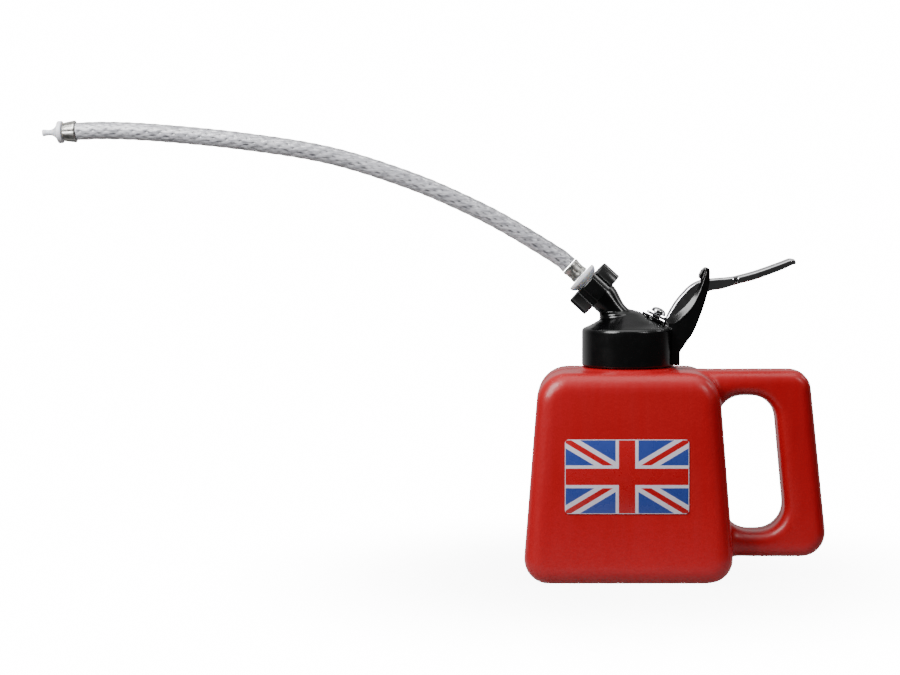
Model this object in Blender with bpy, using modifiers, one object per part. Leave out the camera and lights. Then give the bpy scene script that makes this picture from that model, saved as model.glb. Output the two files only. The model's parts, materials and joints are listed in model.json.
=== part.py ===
"""Handy oiler can: a red blow-moulded can with a lever-action lift pump and a braided flexible spout.

Frame: metres, +Z up. The origin is the centre of the can's underside, on the neck's axis.
+X points to the handle, and the spout points to -X. Lengths below are written in millimetres
and multiplied by MM.
"""

import math

import bmesh
import bpy
from mathutils import Matrix, Vector

MM = 0.001

# ---------------------------------------------------------------- driving dimensions, mm
CAN_HEIGHT = 93.3
CAN_HALF_WIDTH = (47.2, 39.8)  # at the base and at the top
CAN_HALF_DEPTH = (32.0, 28.0)  # at the base and at the top
CAN_EDGE_ROUND = 8.0  # round of the front and back faces' edges
CAN_CORNERS = (11.0, 14.0)  # the outline's bottom and top corners
WALL = 2.0
LABEL_CENTRE = (-1.0, 48.3)  # X and Z on the front face
LABEL_HALF = (27.2, 16.3)
LABEL_THICKNESS = 0.25

HANDLE_TOP, HANDLE_BOTTOM = 93.2, 9.0
HANDLE_OUTER = (81.3, 90.2)  # the grip's outer edge at its top and at its bottom
HANDLE_HALF_DEPTH = 11.0
HANDLE_EDGE_ROUND = 5.2
GAP_TOP, GAP_BOTTOM = 81.8, 20.5  # the finger gap
GAP_INNER = (65.6, 71.4)  # the gap's grip side at its top and at its bottom
GAP_CORNER = 11.5

NECK_RADIUS, NECK_BORE, NECK_TOP = 17.3, 15.5, 105.0
NECK_THREAD_CREST = 18.5
NECK_PITCH, NECK_TURNS = 3.5, 2.0
SKIRT_RADIUS, SKIRT_BORE, SKIRT_BOTTOM = 20.7, 18.9, 95.0
SKIRT_THREAD_CREST = 17.9
CEILING = 106.7  # underside of the head, above the gasket
DOME_SHOULDER, DOME_TOP = 112.3, 121.6
DOME_SLOPE = 0.55

PUMP_TILT = 26.0  # degrees from upright, leaning to the lever
PUMP_EXIT = (12.6, 116.3)  # where the plunger's axis leaves the dome
SPOUT_RISE = 42.5  # degrees above level, to -X
NUT_CENTRE = (-15.0, 129.6)  # middle of the coupling nut, on the spout's axis
NUT_HALF = 4.6
BOSS_RADIUS = 6.7
SPOUT_PITCH, SPOUT_TURNS = 2.0, 1.6

PIVOT_OFFSET, PIVOT_RISE = 14.0, 1.0  # lever pivot from PUMP_EXIT, across and along the pump's axis
SLOT_HALF, FIN_HALF = 4.35, 5.75  # the lever's slot and the bracket's outside, in Y
LEVER_HALF = 4.0
THUMB_HALF = 6.4
SHEET = 1.1  # pressed steel of the lever

HOSE_RADIUS = 4.0
GAP = 0.3  # between pieces that touch
SMALL_ROUND, LARGE_ROUND = 20, 40  # sides of a small and of a large round piece
THREADED = "MANIFOLD"  # the exact solver leaves open edges where a thread's ridge grazes a wall

# The hose's centreline from its base ferrule to its tip ferrule, chosen by hand: (x, z)
HOSE_ROUTE = [
    (-26.4, 140.0),
    (-29.6, 142.9),
    (-35.3, 146.6),
    (-53.2, 157.4),
    (-71.3, 166.8),
    (-98.0, 178.2),
    (-134.2, 189.4),
    (-175.0, 195.9),
    (-215.2, 199.7),
    (-238.0, 200.4),
    (-246.9, 200.0),
]

COLLECTION = "oiler_can"
CUTTERS = "cutters"

# ---------------------------------------------------------------- axes
TILT = math.radians(PUMP_TILT)
PUMP_UP = Vector((math.sin(TILT), 0, math.cos(TILT)))
PUMP_ACROSS = Vector((math.cos(TILT), 0, -math.sin(TILT)))
PUMP_ORIGIN = Vector((PUMP_EXIT[0], 0, PUMP_EXIT[1]))
RISE = math.radians(SPOUT_RISE)
SPOUT_OUT = Vector((-math.cos(RISE), 0, math.sin(RISE)))
SPOUT_ORIGIN = Vector((NUT_CENTRE[0], 0, NUT_CENTRE[1]))
PIVOT = PUMP_ORIGIN + PUMP_ACROSS * PIVOT_OFFSET + PUMP_UP * PIVOT_RISE


# ---------------------------------------------------------------- scene helpers
def clear_scene():
    for obj in list(bpy.data.objects):
        bpy.data.objects.remove(obj)


def collection(name):
    made = bpy.data.collections.new(name)
    bpy.context.scene.collection.children.link(made)
    return made


def material(name, colour, roughness, metallic=0.0, alpha=1.0):
    made = bpy.data.materials.new(name)
    made.use_nodes = True
    shader = made.node_tree.nodes["Principled BSDF"]
    shader.inputs["Base Color"].default_value = (*colour, 1.0)
    shader.inputs["Roughness"].default_value = roughness
    shader.inputs["Metallic"].default_value = metallic
    shader.inputs["Alpha"].default_value = alpha
    return made


def axis_empty(name, origin, tilt):
    """An empty on a joint's axis, turned about Y so that its local Z lies along that axis."""
    empty = bpy.data.objects.new(name, None)
    empty.location = Vector(origin) * MM
    empty.rotation_euler = (0, tilt, 0)
    bpy.data.collections[COLLECTION].objects.link(empty)
    return empty


def link(obj, parent=None, look=None, cutter=False):
    """Puts obj in its collection, under its axis, with its material."""
    bpy.data.collections[CUTTERS if cutter else COLLECTION].objects.link(obj)
    obj.parent = parent
    if cutter:
        obj.hide_render = True
        obj.display_type = "WIRE"
    if look:
        obj.data.materials.append(look)
    return obj


def from_bmesh(name, bm, parent=None, look=None, cutter=False):
    mesh = bpy.data.meshes.new(name)
    bmesh.ops.recalc_face_normals(bm, faces=bm.faces)
    bm.to_mesh(mesh)
    bm.free()
    mesh.shade_smooth()
    mesh.set_sharp_from_angle(angle=math.radians(35))
    return link(bpy.data.objects.new(name, mesh), parent, look, cutter)


def turned(name, profile, parent=None, look=None, steps=SMALL_ROUND, cutter=False, loop=False):
    """A body turned about local Z from (radius, height) points that run down its outer side.
    A loop profile is a ring's whole section; any other starts and ends on the axis."""
    mesh = bpy.data.meshes.new(name)
    points = [(radius * MM, 0, height * MM) for radius, height in profile]
    edges = [(i, i + 1) for i in range(len(points) - 1)]
    if loop:
        edges.append((len(points) - 1, 0))
    mesh.from_pydata(points, edges, [])
    obj = link(bpy.data.objects.new(name, mesh), parent, look, cutter)
    screw = obj.modifiers.new("Screw", "SCREW")
    screw.steps = steps
    screw.render_steps = steps
    screw.use_merge_vertices = True
    screw.merge_threshold = 0.00001
    screw.use_smooth_shade = True
    return obj


def tube(name, inner, outer, low, high, parent, look, steps=SMALL_ROUND):
    """A straight tube about local Z."""
    profile = [(outer, high), (outer, low), (inner, low), (inner, high)]
    return turned(name, profile, parent, look, steps, loop=True)


def arc(centre, radius, start, end, steps):
    """Points on an arc, angles in degrees."""
    angles = [math.radians(start + (end - start) * i / steps) for i in range(steps + 1)]
    return [(centre[0] + radius * math.cos(a), centre[1] + radius * math.sin(a)) for a in angles]


def rounded(corners, radii, steps=5):
    """A closed outline with a tangent arc at each corner whose radius isn't zero."""
    points = []
    count = len(corners)
    for i, (corner, radius) in enumerate(zip(corners, radii)):
        here = Vector(corner)
        if not radius:
            points.append(tuple(here))
            continue
        back = (Vector(corners[i - 1]) - here).normalized()
        ahead = (Vector(corners[(i + 1) % count]) - here).normalized()
        half = back.angle(ahead) / 2
        centre = here + (back + ahead).normalized() * radius / math.sin(half)
        first = here + back * radius / math.tan(half) - centre
        last = here + ahead * radius / math.tan(half) - centre
        sweep = first.angle_signed(last)
        for k in range(steps + 1):
            turn = -sweep * k / steps
            cos, sin = math.cos(turn), math.sin(turn)
            points.append(
                (
                    centre[0] + first[0] * cos - first[1] * sin,
                    centre[1] + first[0] * sin + first[1] * cos,
                )
            )
    return points


def plate(name, outline, half, origin=(0, 0), parent=None, look=None, cutter=False, edge_round=0, y=0):
    """A flat outline in X and Z, given about an origin, as thick as twice half in Y."""
    bm = bmesh.new()
    front = [bm.verts.new(((x - origin[0]) * MM, (y - half) * MM, (z - origin[1]) * MM)) for x, z in outline]
    face = bm.faces.new(front)
    made = bmesh.ops.extrude_face_region(bm, geom=[face])
    moved = [v for v in made["geom"] if isinstance(v, bmesh.types.BMVert)]
    bmesh.ops.translate(bm, verts=moved, vec=(0, 2 * half * MM, 0))
    bmesh.ops.recalc_face_normals(bm, faces=bm.faces)
    if edge_round:
        rims = [e for e in bm.edges if abs(e.verts[0].co.y - e.verts[1].co.y) < MM * 0.01]
        settings = {"segments": 3, "profile": 0.5, "affect": "EDGES", "clamp_overlap": False}
        bmesh.ops.bevel(bm, geom=rims, offset=edge_round * MM, **settings)
    return from_bmesh(name, bm, parent, look, cutter)


def cylinder(name, radius, low, high, parent=None, look=None, steps=SMALL_ROUND, cutter=False, centre=(0, 0)):
    """A cylinder along local Z about a centre in local X and Y."""
    bm = bmesh.new()
    place = Matrix.Translation((centre[0] * MM, centre[1] * MM, (low + high) / 2 * MM))
    size = {"radius1": radius * MM, "radius2": radius * MM, "depth": (high - low) * MM}
    bmesh.ops.create_cone(bm, cap_ends=True, segments=steps, matrix=place, **size)
    return from_bmesh(name, bm, parent, look, cutter)


def cross_cylinder(name, radius, low, high, place, parent=None, look=None, steps=SMALL_ROUND, cutter=False):
    """A cylinder along Y, centred at (x, z)."""
    bm = bmesh.new()
    turn = Matrix.Rotation(math.radians(90), 4, "X")
    shift = Matrix.Translation((place[0] * MM, (low + high) / 2 * MM, place[1] * MM))
    size = {"radius1": radius * MM, "radius2": radius * MM, "depth": (high - low) * MM}
    bmesh.ops.create_cone(bm, cap_ends=True, segments=steps, matrix=shift @ turn, **size)
    return from_bmesh(name, bm, parent, look, cutter)


def box(name, low, high, parent=None, look=None, cutter=False):
    bm = bmesh.new()
    centre = [(a + b) / 2 * MM for a, b in zip(low, high)]
    scale = [(b - a) * MM for a, b in zip(low, high)]
    bmesh.ops.create_cube(bm, size=1.0, matrix=Matrix.Translation(centre) @ Matrix.Diagonal((*scale, 1)))
    return from_bmesh(name, bm, parent, look, cutter)


def ball(name, radius, height, parent, look):
    bm = bmesh.new()
    place = Matrix.Translation((0, 0, height * MM))
    bmesh.ops.create_uvsphere(bm, u_segments=14, v_segments=8, radius=radius * MM, matrix=place)
    return from_bmesh(name, bm, parent, look)


def boolean(obj, other, operation, solver):
    modifier = obj.modifiers.new(f"{operation} {other.name}", "BOOLEAN")
    modifier.operation = operation
    modifier.object = other
    modifier.solver = solver


def cut(obj, *cutters, solver="EXACT"):
    for cutter in cutters:
        boolean(obj, cutter, "DIFFERENCE", solver)


def join(obj, *others, solver="EXACT"):
    for other in others:
        boolean(obj, other, "UNION", solver)


def thread(name, root, crest, pitch, turns, low, widths, parent=None):
    """One helical thread ridge about local Z, from root to crest radius, as a helper to join.
    widths are the ridge's at its root and at its crest. Its ends run out into the wall."""
    per_turn = 16
    count = round(per_turn * turns)
    bm = bmesh.new()
    rings = []
    for i in range(count + 1):
        turn = math.tau * i / per_turn
        height = low + pitch * i / per_turn
        fade = min(1.0, 0.15 + min(i, count - i) / 3)
        top = root + (crest - root) * fade
        section = [(root, widths[0] / 2), (top, widths[1] / 2), (top, -widths[1] / 2), (root, -widths[0] / 2)]
        ring = []
        for radius, offset in section:
            place = (radius * math.cos(turn), radius * math.sin(turn), height + offset)
            ring.append(bm.verts.new([c * MM for c in place]))
        rings.append(ring)
    for one, two in zip(rings, rings[1:]):
        for k in range(4):
            bm.faces.new((one[k], one[(k + 1) % 4], two[(k + 1) % 4], two[k]))
    bm.faces.new(rings[0])
    bm.faces.new(rings[-1])
    return from_bmesh(name, bm, parent, cutter=True)


def spring(name, radius, wire, low, high, turns, parent, look):
    """A compression coil about local Z with its end turns closed up."""
    curve = bpy.data.curves.new(name, "CURVE")
    curve.dimensions = "3D"
    curve.bevel_depth = wire / 2 * MM
    curve.bevel_resolution = 2
    curve.use_fill_caps = True
    per_turn = 9
    count = turns * per_turn
    spline = curve.splines.new("POLY")
    spline.points.add(count)
    half_wire = wire / 2
    closed = wire * 1.12  # rise of a closed end turn
    active = (high - low - wire - 2 * closed) / (turns - 2)
    for i in range(count + 1):
        turn = i / per_turn
        closed_turns = min(turn, 1) + max(turn - turns + 1, 0)
        rise = closed * closed_turns + active * min(max(turn - 1, 0), turns - 2)
        angle = math.tau * turn
        point = (radius * math.cos(angle), radius * math.sin(angle), low + half_wire + rise)
        spline.points[i].co = (*[c * MM for c in point], 1)
    return link(bpy.data.objects.new(name, curve), parent, look)


def smooth_route(points, spacing):
    """Points about spacing apart on a smooth (Catmull-Rom) curve through points."""
    route = [Vector(p) for p in points]
    padded = [2 * route[0] - route[1], *route, 2 * route[-1] - route[-2]]
    found = []
    for p0, p1, p2, p3 in zip(padded, padded[1:], padded[2:], padded[3:]):
        steps = max(1, round((p2 - p1).length / spacing))
        for k in range(steps):
            t = k / steps
            even = 2 * p1 + (p2 - p0) * t + (2 * p0 - 5 * p1 + 4 * p2 - p3) * t**2
            found.append((even + (3 * p1 - p0 - 3 * p2 + p3) * t**3) / 2)
    return [*found, route[-1]]


def pipe(name, points, radius, resolution, look, parent=None, caps=True):
    """A round curve object through (x, z) points in the plane Y = 0."""
    curve = bpy.data.curves.new(name, "CURVE")
    curve.dimensions = "3D"
    curve.bevel_depth = radius * MM
    curve.bevel_resolution = resolution
    curve.use_fill_caps = caps
    spline = curve.splines.new("POLY")
    spline.points.add(len(points) - 1)
    for point, (x, z) in zip(spline.points, points):
        point.co = (x * MM, 0, z * MM, 1)
    return link(bpy.data.objects.new(name, curve), parent, look)


def as_mesh(obj):
    """The mesh object that replaces a curve object."""
    bpy.context.view_layer.update()
    graph = bpy.context.evaluated_depsgraph_get()
    mesh = bpy.data.meshes.new_from_object(obj.evaluated_get(graph))
    bm = bmesh.new()
    bm.from_mesh(mesh)
    bmesh.ops.remove_doubles(bm, verts=bm.verts, dist=0.00001)
    bm.to_mesh(mesh)
    bm.free()
    name, parent, matrix = obj.name, obj.parent, obj.matrix_world.copy()
    bpy.data.objects.remove(obj)
    made = bpy.data.objects.new(name, mesh)
    bpy.data.collections[COLLECTION].objects.link(made)
    made.parent = parent
    made.matrix_world = matrix
    return made


# ---------------------------------------------------------------- the can
def can_side(height):
    """The can's half width at a height."""
    low, high = CAN_HALF_WIDTH
    return low + (high - low) * height / CAN_HEIGHT


def can_outline(inset):
    corners = [
        (-can_side(inset) + inset, inset),
        (can_side(inset) - inset, inset),
        (can_side(CAN_HEIGHT - inset) - inset, CAN_HEIGHT - inset),
        (-can_side(CAN_HEIGHT - inset) + inset, CAN_HEIGHT - inset),
    ]
    bottom, top = CAN_CORNERS
    return rounded(corners, [bottom - inset, bottom - inset, top - inset, top - inset], 5)


def handle_outline(inset):
    """The grip and its two bars as one C, whose open side lies inside the can."""
    hidden = 15.0  # well inside the can, where the can's own hollow takes the C's open side away
    top, bottom = HANDLE_TOP - inset, HANDLE_BOTTOM + inset
    gap_top, gap_bottom = GAP_TOP + inset, GAP_BOTTOM - inset
    inner_top, inner_bottom = GAP_INNER[0] + inset, GAP_INNER[1] + inset
    wall_top, wall_bottom = can_side(gap_top) - 1.2 - inset, can_side(gap_bottom) - 1.2 - inset
    upper_root, lower_root = gap_top - 24.0, gap_bottom + 24.0
    corners = [
        (hidden, bottom),
        (HANDLE_OUTER[1] - inset, bottom),
        (HANDLE_OUTER[0] - inset, top),
        (hidden, top),
        (hidden, upper_root),
        (can_side(upper_root) - 1.2 - inset, upper_root),
        (wall_top, gap_top),
        (inner_top, gap_top),
        (inner_bottom, gap_bottom),
        (wall_bottom, gap_bottom),
        (can_side(lower_root) - 1.2 - inset, lower_root),
        (hidden, lower_root),
    ]
    gap_round = GAP_CORNER + inset
    radii = [0, 11 - inset, 9 - inset, 0, 0, 0, gap_round, gap_round, gap_round, gap_round, 0, 0]
    return rounded(corners, radii, 4)


def taper_depth(obj):
    """Leans the front and back faces inwards, so that the can is less deep at its top."""
    low, high = CAN_HALF_DEPTH
    for vertex in obj.data.vertices:
        vertex.co.y *= 1 - (1 - high / low) * vertex.co.z / (CAN_HEIGHT * MM)


def build_container(red):
    base_half = CAN_HALF_DEPTH[0]
    can = plate("container", can_outline(0), base_half, look=red, edge_round=CAN_EDGE_ROUND)
    taper_depth(can)
    inner_round = CAN_EDGE_ROUND - WALL
    hollow = plate("can_hollow", can_outline(WALL), base_half - WALL, cutter=True, edge_round=inner_round)
    taper_depth(hollow)
    handle = plate(
        "handle", handle_outline(0), HANDLE_HALF_DEPTH, cutter=True, edge_round=HANDLE_EDGE_ROUND
    )
    handle_hollow = plate(
        "handle_hollow",
        handle_outline(WALL),
        HANDLE_HALF_DEPTH - WALL,
        cutter=True,
        edge_round=HANDLE_EDGE_ROUND - WALL,
    )
    seat = turned(
        "neck_seat",
        [(0, CAN_HEIGHT + 1.2), (21.0, CAN_HEIGHT + 1.2), (22.0, CAN_HEIGHT + 0.4), (22.0, 90.0), (0, 90.0)],
        steps=LARGE_ROUND,
        cutter=True,
    )
    neck = cylinder("neck", NECK_RADIUS, CAN_HEIGHT - WALL, NECK_TOP, steps=LARGE_ROUND, cutter=True)
    ridge = thread(
        "neck_thread", NECK_RADIUS - 0.4, NECK_THREAD_CREST, NECK_PITCH, NECK_TURNS, 96.6, (2.0, 0.8)
    )
    low, high = CAN_HEIGHT - 2 * WALL, NECK_TOP + 5
    bore = cylinder("neck_bore", NECK_BORE, low, high, steps=LARGE_ROUND, cutter=True)
    join(can, handle, seat, neck, ridge, solver=THREADED)
    cut(can, hollow, handle_hollow, bore, solver=THREADED)


def build_label(look):
    """A thin sticker on the can's leaning front face."""
    low, high = CAN_HALF_DEPTH
    lean = math.atan((low - high) / CAN_HEIGHT)
    half_width, half_height = LABEL_HALF
    corners = [(-half_width, -half_height), (half_width, -half_height), (half_width, half_height)]
    corners.append((-half_width, half_height))
    label = plate("label", rounded(corners, [1.6] * 4, 3), LABEL_THICKNESS / 2, look=look)
    depth = low + (high - low) * LABEL_CENTRE[1] / CAN_HEIGHT + (GAP + LABEL_THICKNESS) / 2
    label.location = (LABEL_CENTRE[0] * MM, -depth * MM, LABEL_CENTRE[1] * MM)
    label.rotation_euler = (-lean, 0, 0)


# ---------------------------------------------------------------- the pump head
def dome_profile():
    """The head's skirt and dome, hollow from below, as radius and height."""
    shoulder = 2.0
    edge = SKIRT_RADIUS - shoulder
    crown = edge - (DOME_TOP - DOME_SHOULDER) / DOME_SLOPE
    corner = [
        (edge + shoulder * math.sin(a), DOME_SHOULDER - shoulder + shoulder * math.cos(a))
        for a in (math.radians(d) for d in (29, 50, 70, 90))
    ]
    return [
        (0, DOME_TOP),
        (crown, DOME_TOP),
        *corner,
        (SKIRT_RADIUS, SKIRT_BOTTOM + 0.5),
        (SKIRT_RADIUS - 0.5, SKIRT_BOTTOM),
        (SKIRT_BORE, SKIRT_BOTTOM),
        (SKIRT_BORE, CEILING),
        (0, CEILING),
    ]


def cheek_outline():
    """Side view of the lever bracket: its curved front rim, its tip and its back."""
    front = [(20.9, 113.4), (25.0, 117.0), (29.5, 122.4), (32.4, 128.7), (34.0, 133.6), (34.9, 137.0)]
    tip = [(35.1, 138.6), (35.9, 139.0), (36.6, 137.9)]
    back = [(36.6, 133.2), (35.4, 126.9), (33.2, 119.7), (29.6, 110.7), (26.0, 105.3), (23.3, 101.3)]
    root = [(23.3, SKIRT_BOTTOM + 0.3), (19.4, SKIRT_BOTTOM + 0.3), (19.4, 112.4)]
    return front + tip + back + root


def bridge_outline():
    """Side view of the block that joins the cheeks' tips over the lever."""
    under = [(32.0, 133.9), (36.6, 134.7)]
    return under + [(36.6, 137.9), (35.9, 139.2), (34.6, 139.2), (33.2, 138.0), (32.1, 136.0)]


def build_head(black):
    head = turned("pump_head", dome_profile(), look=black, steps=LARGE_ROUND)
    pedestal = turned(
        "boss_pedestal",
        [(0, 118.9), (7.6, 118.9), (8.3, 118.2), (8.3, 109.0), (0, 109.0)],
        cutter=True,
    )
    pedestal.location.x = -4.4 * MM
    spout_axis = bpy.data.objects["spout_axis"]
    boss = turned(
        "spout_boss",
        [(0, -0.4), (6.3, -0.4), (BOSS_RADIUS, -0.8), (BOSS_RADIUS, -19.0), (0, -19.0)],
        spout_axis,
        cutter=True,
    )
    boss_thread = thread("boss_thread", 6.4, 7.5, SPOUT_PITCH, SPOUT_TURNS, -4.3, (1.2, 0.5), spout_axis)
    skirt_thread = thread(
        "skirt_thread",
        SKIRT_BORE + 0.4,
        SKIRT_THREAD_CREST,
        NECK_PITCH,
        NECK_TURNS,
        96.6 + NECK_PITCH / 2,
        (2.0, 0.8),
    )
    cheek_half = (FIN_HALF - SLOT_HALF) / 2
    cheek_y = (FIN_HALF + SLOT_HALF) / 2
    near = plate("near_cheek", cheek_outline(), cheek_half, cutter=True, y=-cheek_y)
    far = plate("far_cheek", cheek_outline(), cheek_half, cutter=True, y=cheek_y)
    bridge = plate("bridge", bridge_outline(), SLOT_HALF + 0.6, cutter=True)
    root_corners = [(19.4, 95.3), (23.3, 95.3), (23.3, 101.3), (25.6, 104.7), (25.6, 105.6), (19.4, 105.6)]
    root = plate("bracket_root", root_corners, SLOT_HALF + 0.6, cutter=True)
    join(head, pedestal, boss, boss_thread, skirt_thread, near, far, bridge, root, solver=THREADED)

    pump_axis = bpy.data.objects["pump_axis"]
    pump_bore = turned(
        "pump_bore",
        [(0, 9.0), (7.0, 9.0), (7.0, -1.3), (4.5, -1.3), (4.5, -6.0), (6.1, -6.0), (6.1, -16.0), (0, -16.0)],
        pump_axis,
        cutter=True,
    )
    spout_bore = turned(
        "spout_bore",
        [(0, 3.0), (2.9, 3.0), (2.9, -13.0), (1.5, -13.0), (1.5, -29.0), (0, -29.0)],
        spout_axis,
        cutter=True,
    )
    vent = cylinder("air_vent", 0.6, CEILING - 2, 125.0, steps=12, cutter=True, centre=(-1.0, 13.0))
    low, high = -FIN_HALF + 0.6, FIN_HALF + 1.0
    pin_hole = cross_cylinder("pin_hole", 1.65, low, high, (PIVOT.x, PIVOT.z), cutter=True)
    cut(head, pump_bore, spout_bore, vent, pin_hole, solver=THREADED)


def build_gasket(rubber):
    inner, outer = NECK_BORE + GAP, NECK_RADIUS - 0.1
    tube("head_gasket", inner, outer, NECK_TOP + GAP, CEILING - GAP, None, rubber, LARGE_ROUND)


# ---------------------------------------------------------------- the pump
BARREL_TOP, BARREL_END = -6.4, -40.0
STEM_END = -33.0
ROD_RADIUS = 1.8
BUTTON_UNDER, BUTTON_TOP = 2.3, 5.0


def build_gland(black, rubber, steel):
    """The gland nut, its packing and the washer that the return spring bears on."""
    pump_axis = bpy.data.objects["pump_axis"]
    nut = turned(
        "gland_nut",
        [
            (6.0, 0.2),
            (6.5, -0.3),
            (6.5, -1.0),
            (4.2, -1.0),
            (4.2, -3.2),
            (ROD_RADIUS + 0.2, -3.2),
            (ROD_RADIUS + 0.2, 0.2),
        ],
        pump_axis,
        black,
        loop=True,
    )
    teeth = 12
    for i in range(teeth):
        notch = cylinder(f"gland_notch_{i}", 0.7, -2.0, 1.0, nut, steps=6, cutter=True)
        angle = math.tau * i / teeth
        notch.location = (6.7 * MM * math.cos(angle), 6.7 * MM * math.sin(angle), 0)
        cut(nut, notch)
    tube("gland_packing", ROD_RADIUS + 0.2, 4.1, -4.7, -3.5, pump_axis, rubber)
    tube("packing_washer", ROD_RADIUS + 0.25, 4.1, -5.5, -5.0, pump_axis, steel)


def build_plunger(chrome, steel, black, rubber):
    """The rod with its mushroom head outside, and the piston that hangs on it."""
    axis = bpy.data.objects["plunger_axis"]
    height = BUTTON_TOP - BUTTON_UNDER
    crown = [
        (3.4 * math.sin(a), BUTTON_UNDER + 0.7 + (height - 0.7) * math.cos(a))
        for a in (math.radians(d) for d in (0, 22, 45, 68, 90))
    ]
    stem = [(ROD_RADIUS, -27.4), (1.3, -27.4), (1.3, STEM_END), (0, STEM_END)]
    rod = [*crown, (3.2, BUTTON_UNDER), (ROD_RADIUS, BUTTON_UNDER), *stem]
    turned("plunger_rod", rod, axis, chrome, 24)
    piston = tube("piston", 1.6, 4.05, -30.0, -27.7, axis, black)
    for i in range(4):
        port = cylinder(f"piston_port_{i}", 0.55, -31.0, -26.0, piston, steps=8, cutter=True)
        angle = math.tau * (i + 0.5) / 4
        port.location = (2.75 * MM * math.cos(angle), 2.75 * MM * math.sin(angle), 0)
        cut(piston, port)
    turned(
        "piston_cup",
        [(3.5, -25.4), (4.1, -25.2), (4.1, -27.4), (1.95, -27.4), (1.95, -26.6), (3.1, -26.6)],
        axis,
        rubber,
        loop=True,
    )
    flats = 6
    turned(
        "piston_nut",
        [(2.9, -30.3), (2.9, -32.4), (1.65, -32.4), (1.65, -30.3)],
        axis,
        steel,
        flats,
        loop=True,
    )


def build_barrel(nylon, steel):
    pump_axis = bpy.data.objects["pump_axis"]
    barrel = tube("pump_barrel", 4.3, 5.8, BARREL_END, BARREL_TOP, pump_axis, nylon)
    port = cylinder("barrel_port", 1.5, -30.0, -22.0, bpy.data.objects["spout_axis"], steps=16, cutter=True)
    cut(barrel, port)
    turned(
        "foot_valve_body",
        [
            (4.1, -35.0),
            (4.1, -40.3),
            (5.8, -40.3),
            (5.8, -41.6),
            (2.6, -42.6),
            (2.0, -43.0),
            (2.0, -50.0),
            (1.2, -50.0),
            (1.2, -38.6),
            (2.6, -38.6),
            (2.6, -35.0),
        ],
        pump_axis,
        nylon,
        loop=True,
    )
    tube("foot_valve_cage", 1.3, 4.1, -34.7, -34.0, pump_axis, steel)


def build_suction(natural, nylon):
    """The dip tube, bent upright inside the can, and the strainer on its foot."""
    foot = -15.4
    slanted = [PUMP_ORIGIN - PUMP_UP * distance for distance in (43.4, 50.0, 53.0)]
    route = [(p.x, p.z) for p in slanted]
    route += [(-13.4, 61.5), (-14.9, 54.0), (foot, 45.0), (foot, 24.0), (foot, 7.6)]
    dip = as_mesh(pipe("suction_tube", smooth_route(route, 5.0), 3.2, 2, natural, caps=False))
    shell = dip.modifiers.new("Solidify", "SOLIDIFY")
    shell.thickness = 0.8 * MM
    shell.offset = -1
    strainer = turned(
        "suction_strainer",
        [(4.6, 14.0), (4.8, 13.6), (4.8, 3.0), (1.6, 3.0), (1.6, 7.2), (3.5, 7.2), (3.5, 14.0)],
        None,
        nylon,
        24,
        loop=True,
    )
    strainer.location.x = foot * MM
    for i in range(3):
        slot = box(f"strainer_slot_{i}", (-8, -0.5, 2.0), (8, 0.5, 6.0), strainer, cutter=True)
        slot.rotation_euler.z = math.pi * i / 3
        cut(strainer, slot)


def build_pump_springs(steel):
    spring("return_spring", 3.35, 0.8, -25.1, -5.7, 7, bpy.data.objects["pump_axis"], steel)
    spring("delivery_spring", 1.75, 0.5, -8.8, -3.1, 4, bpy.data.objects["spout_axis"], steel)


def build_valve_balls(steel):
    foot_axis = bpy.data.objects["foot_ball_axis"]
    ball("foot_valve_ball", 1.9, 0, foot_axis, steel)
    ball("delivery_ball", 2.1, 0, bpy.data.objects["delivery_ball_axis"], steel)


# ---------------------------------------------------------------- the lever
def lever_upper_edge():
    """The web's outside, from the plunger up, over the bracket and out to the thumb's end."""
    return [
        (17.3, 116.9),
        (19.7, 121.4),
        (24.0, 127.2),
        (27.7, 130.9),
        (31.9, 133.2),
        (37.1, 134.1),
        (43.4, 134.6),
        (49.7, 135.5),
        (56.1, 137.2),
        (62.4, 139.3),
        (68.7, 141.6),
        (72.3, 143.0),
    ]


def lever_tip():
    return [(73.7, 143.1), (74.9, 142.2), (75.2, 140.9)]


def lever_lower_edge():
    """The flanges' free edge, from the thumb's end back to the ear round the pivot."""
    return [
        (71.9, 139.7),
        (68.7, 138.2),
        (62.4, 135.8),
        (56.1, 133.6),
        (49.7, 132.0),
        (46.9, 131.0),
        (41.9, 129.5),
        (35.2, 128.2),
        (32.4, 123.6),
        (30.3, 117.6),
    ]


def lever_ear():
    """The flanges' foot: round the pivot, then along under the toe."""
    centre = (PIVOT.x, PIVOT.z)
    return [*arc(centre, 3.1, 10, -116, 8), (20.8, 112.9), (17.1, 114.7)]


def offset_line(points, distance):
    """Points moved to the right of the way that the line runs."""
    moved = []
    for i, point in enumerate(points):
        before = Vector(points[max(i - 1, 0)])
        after = Vector(points[min(i + 1, len(points) - 1)])
        along = (after - before).normalized()
        moved.append((point[0] + along.y * distance, point[1] - along.x * distance))
    return moved


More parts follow.
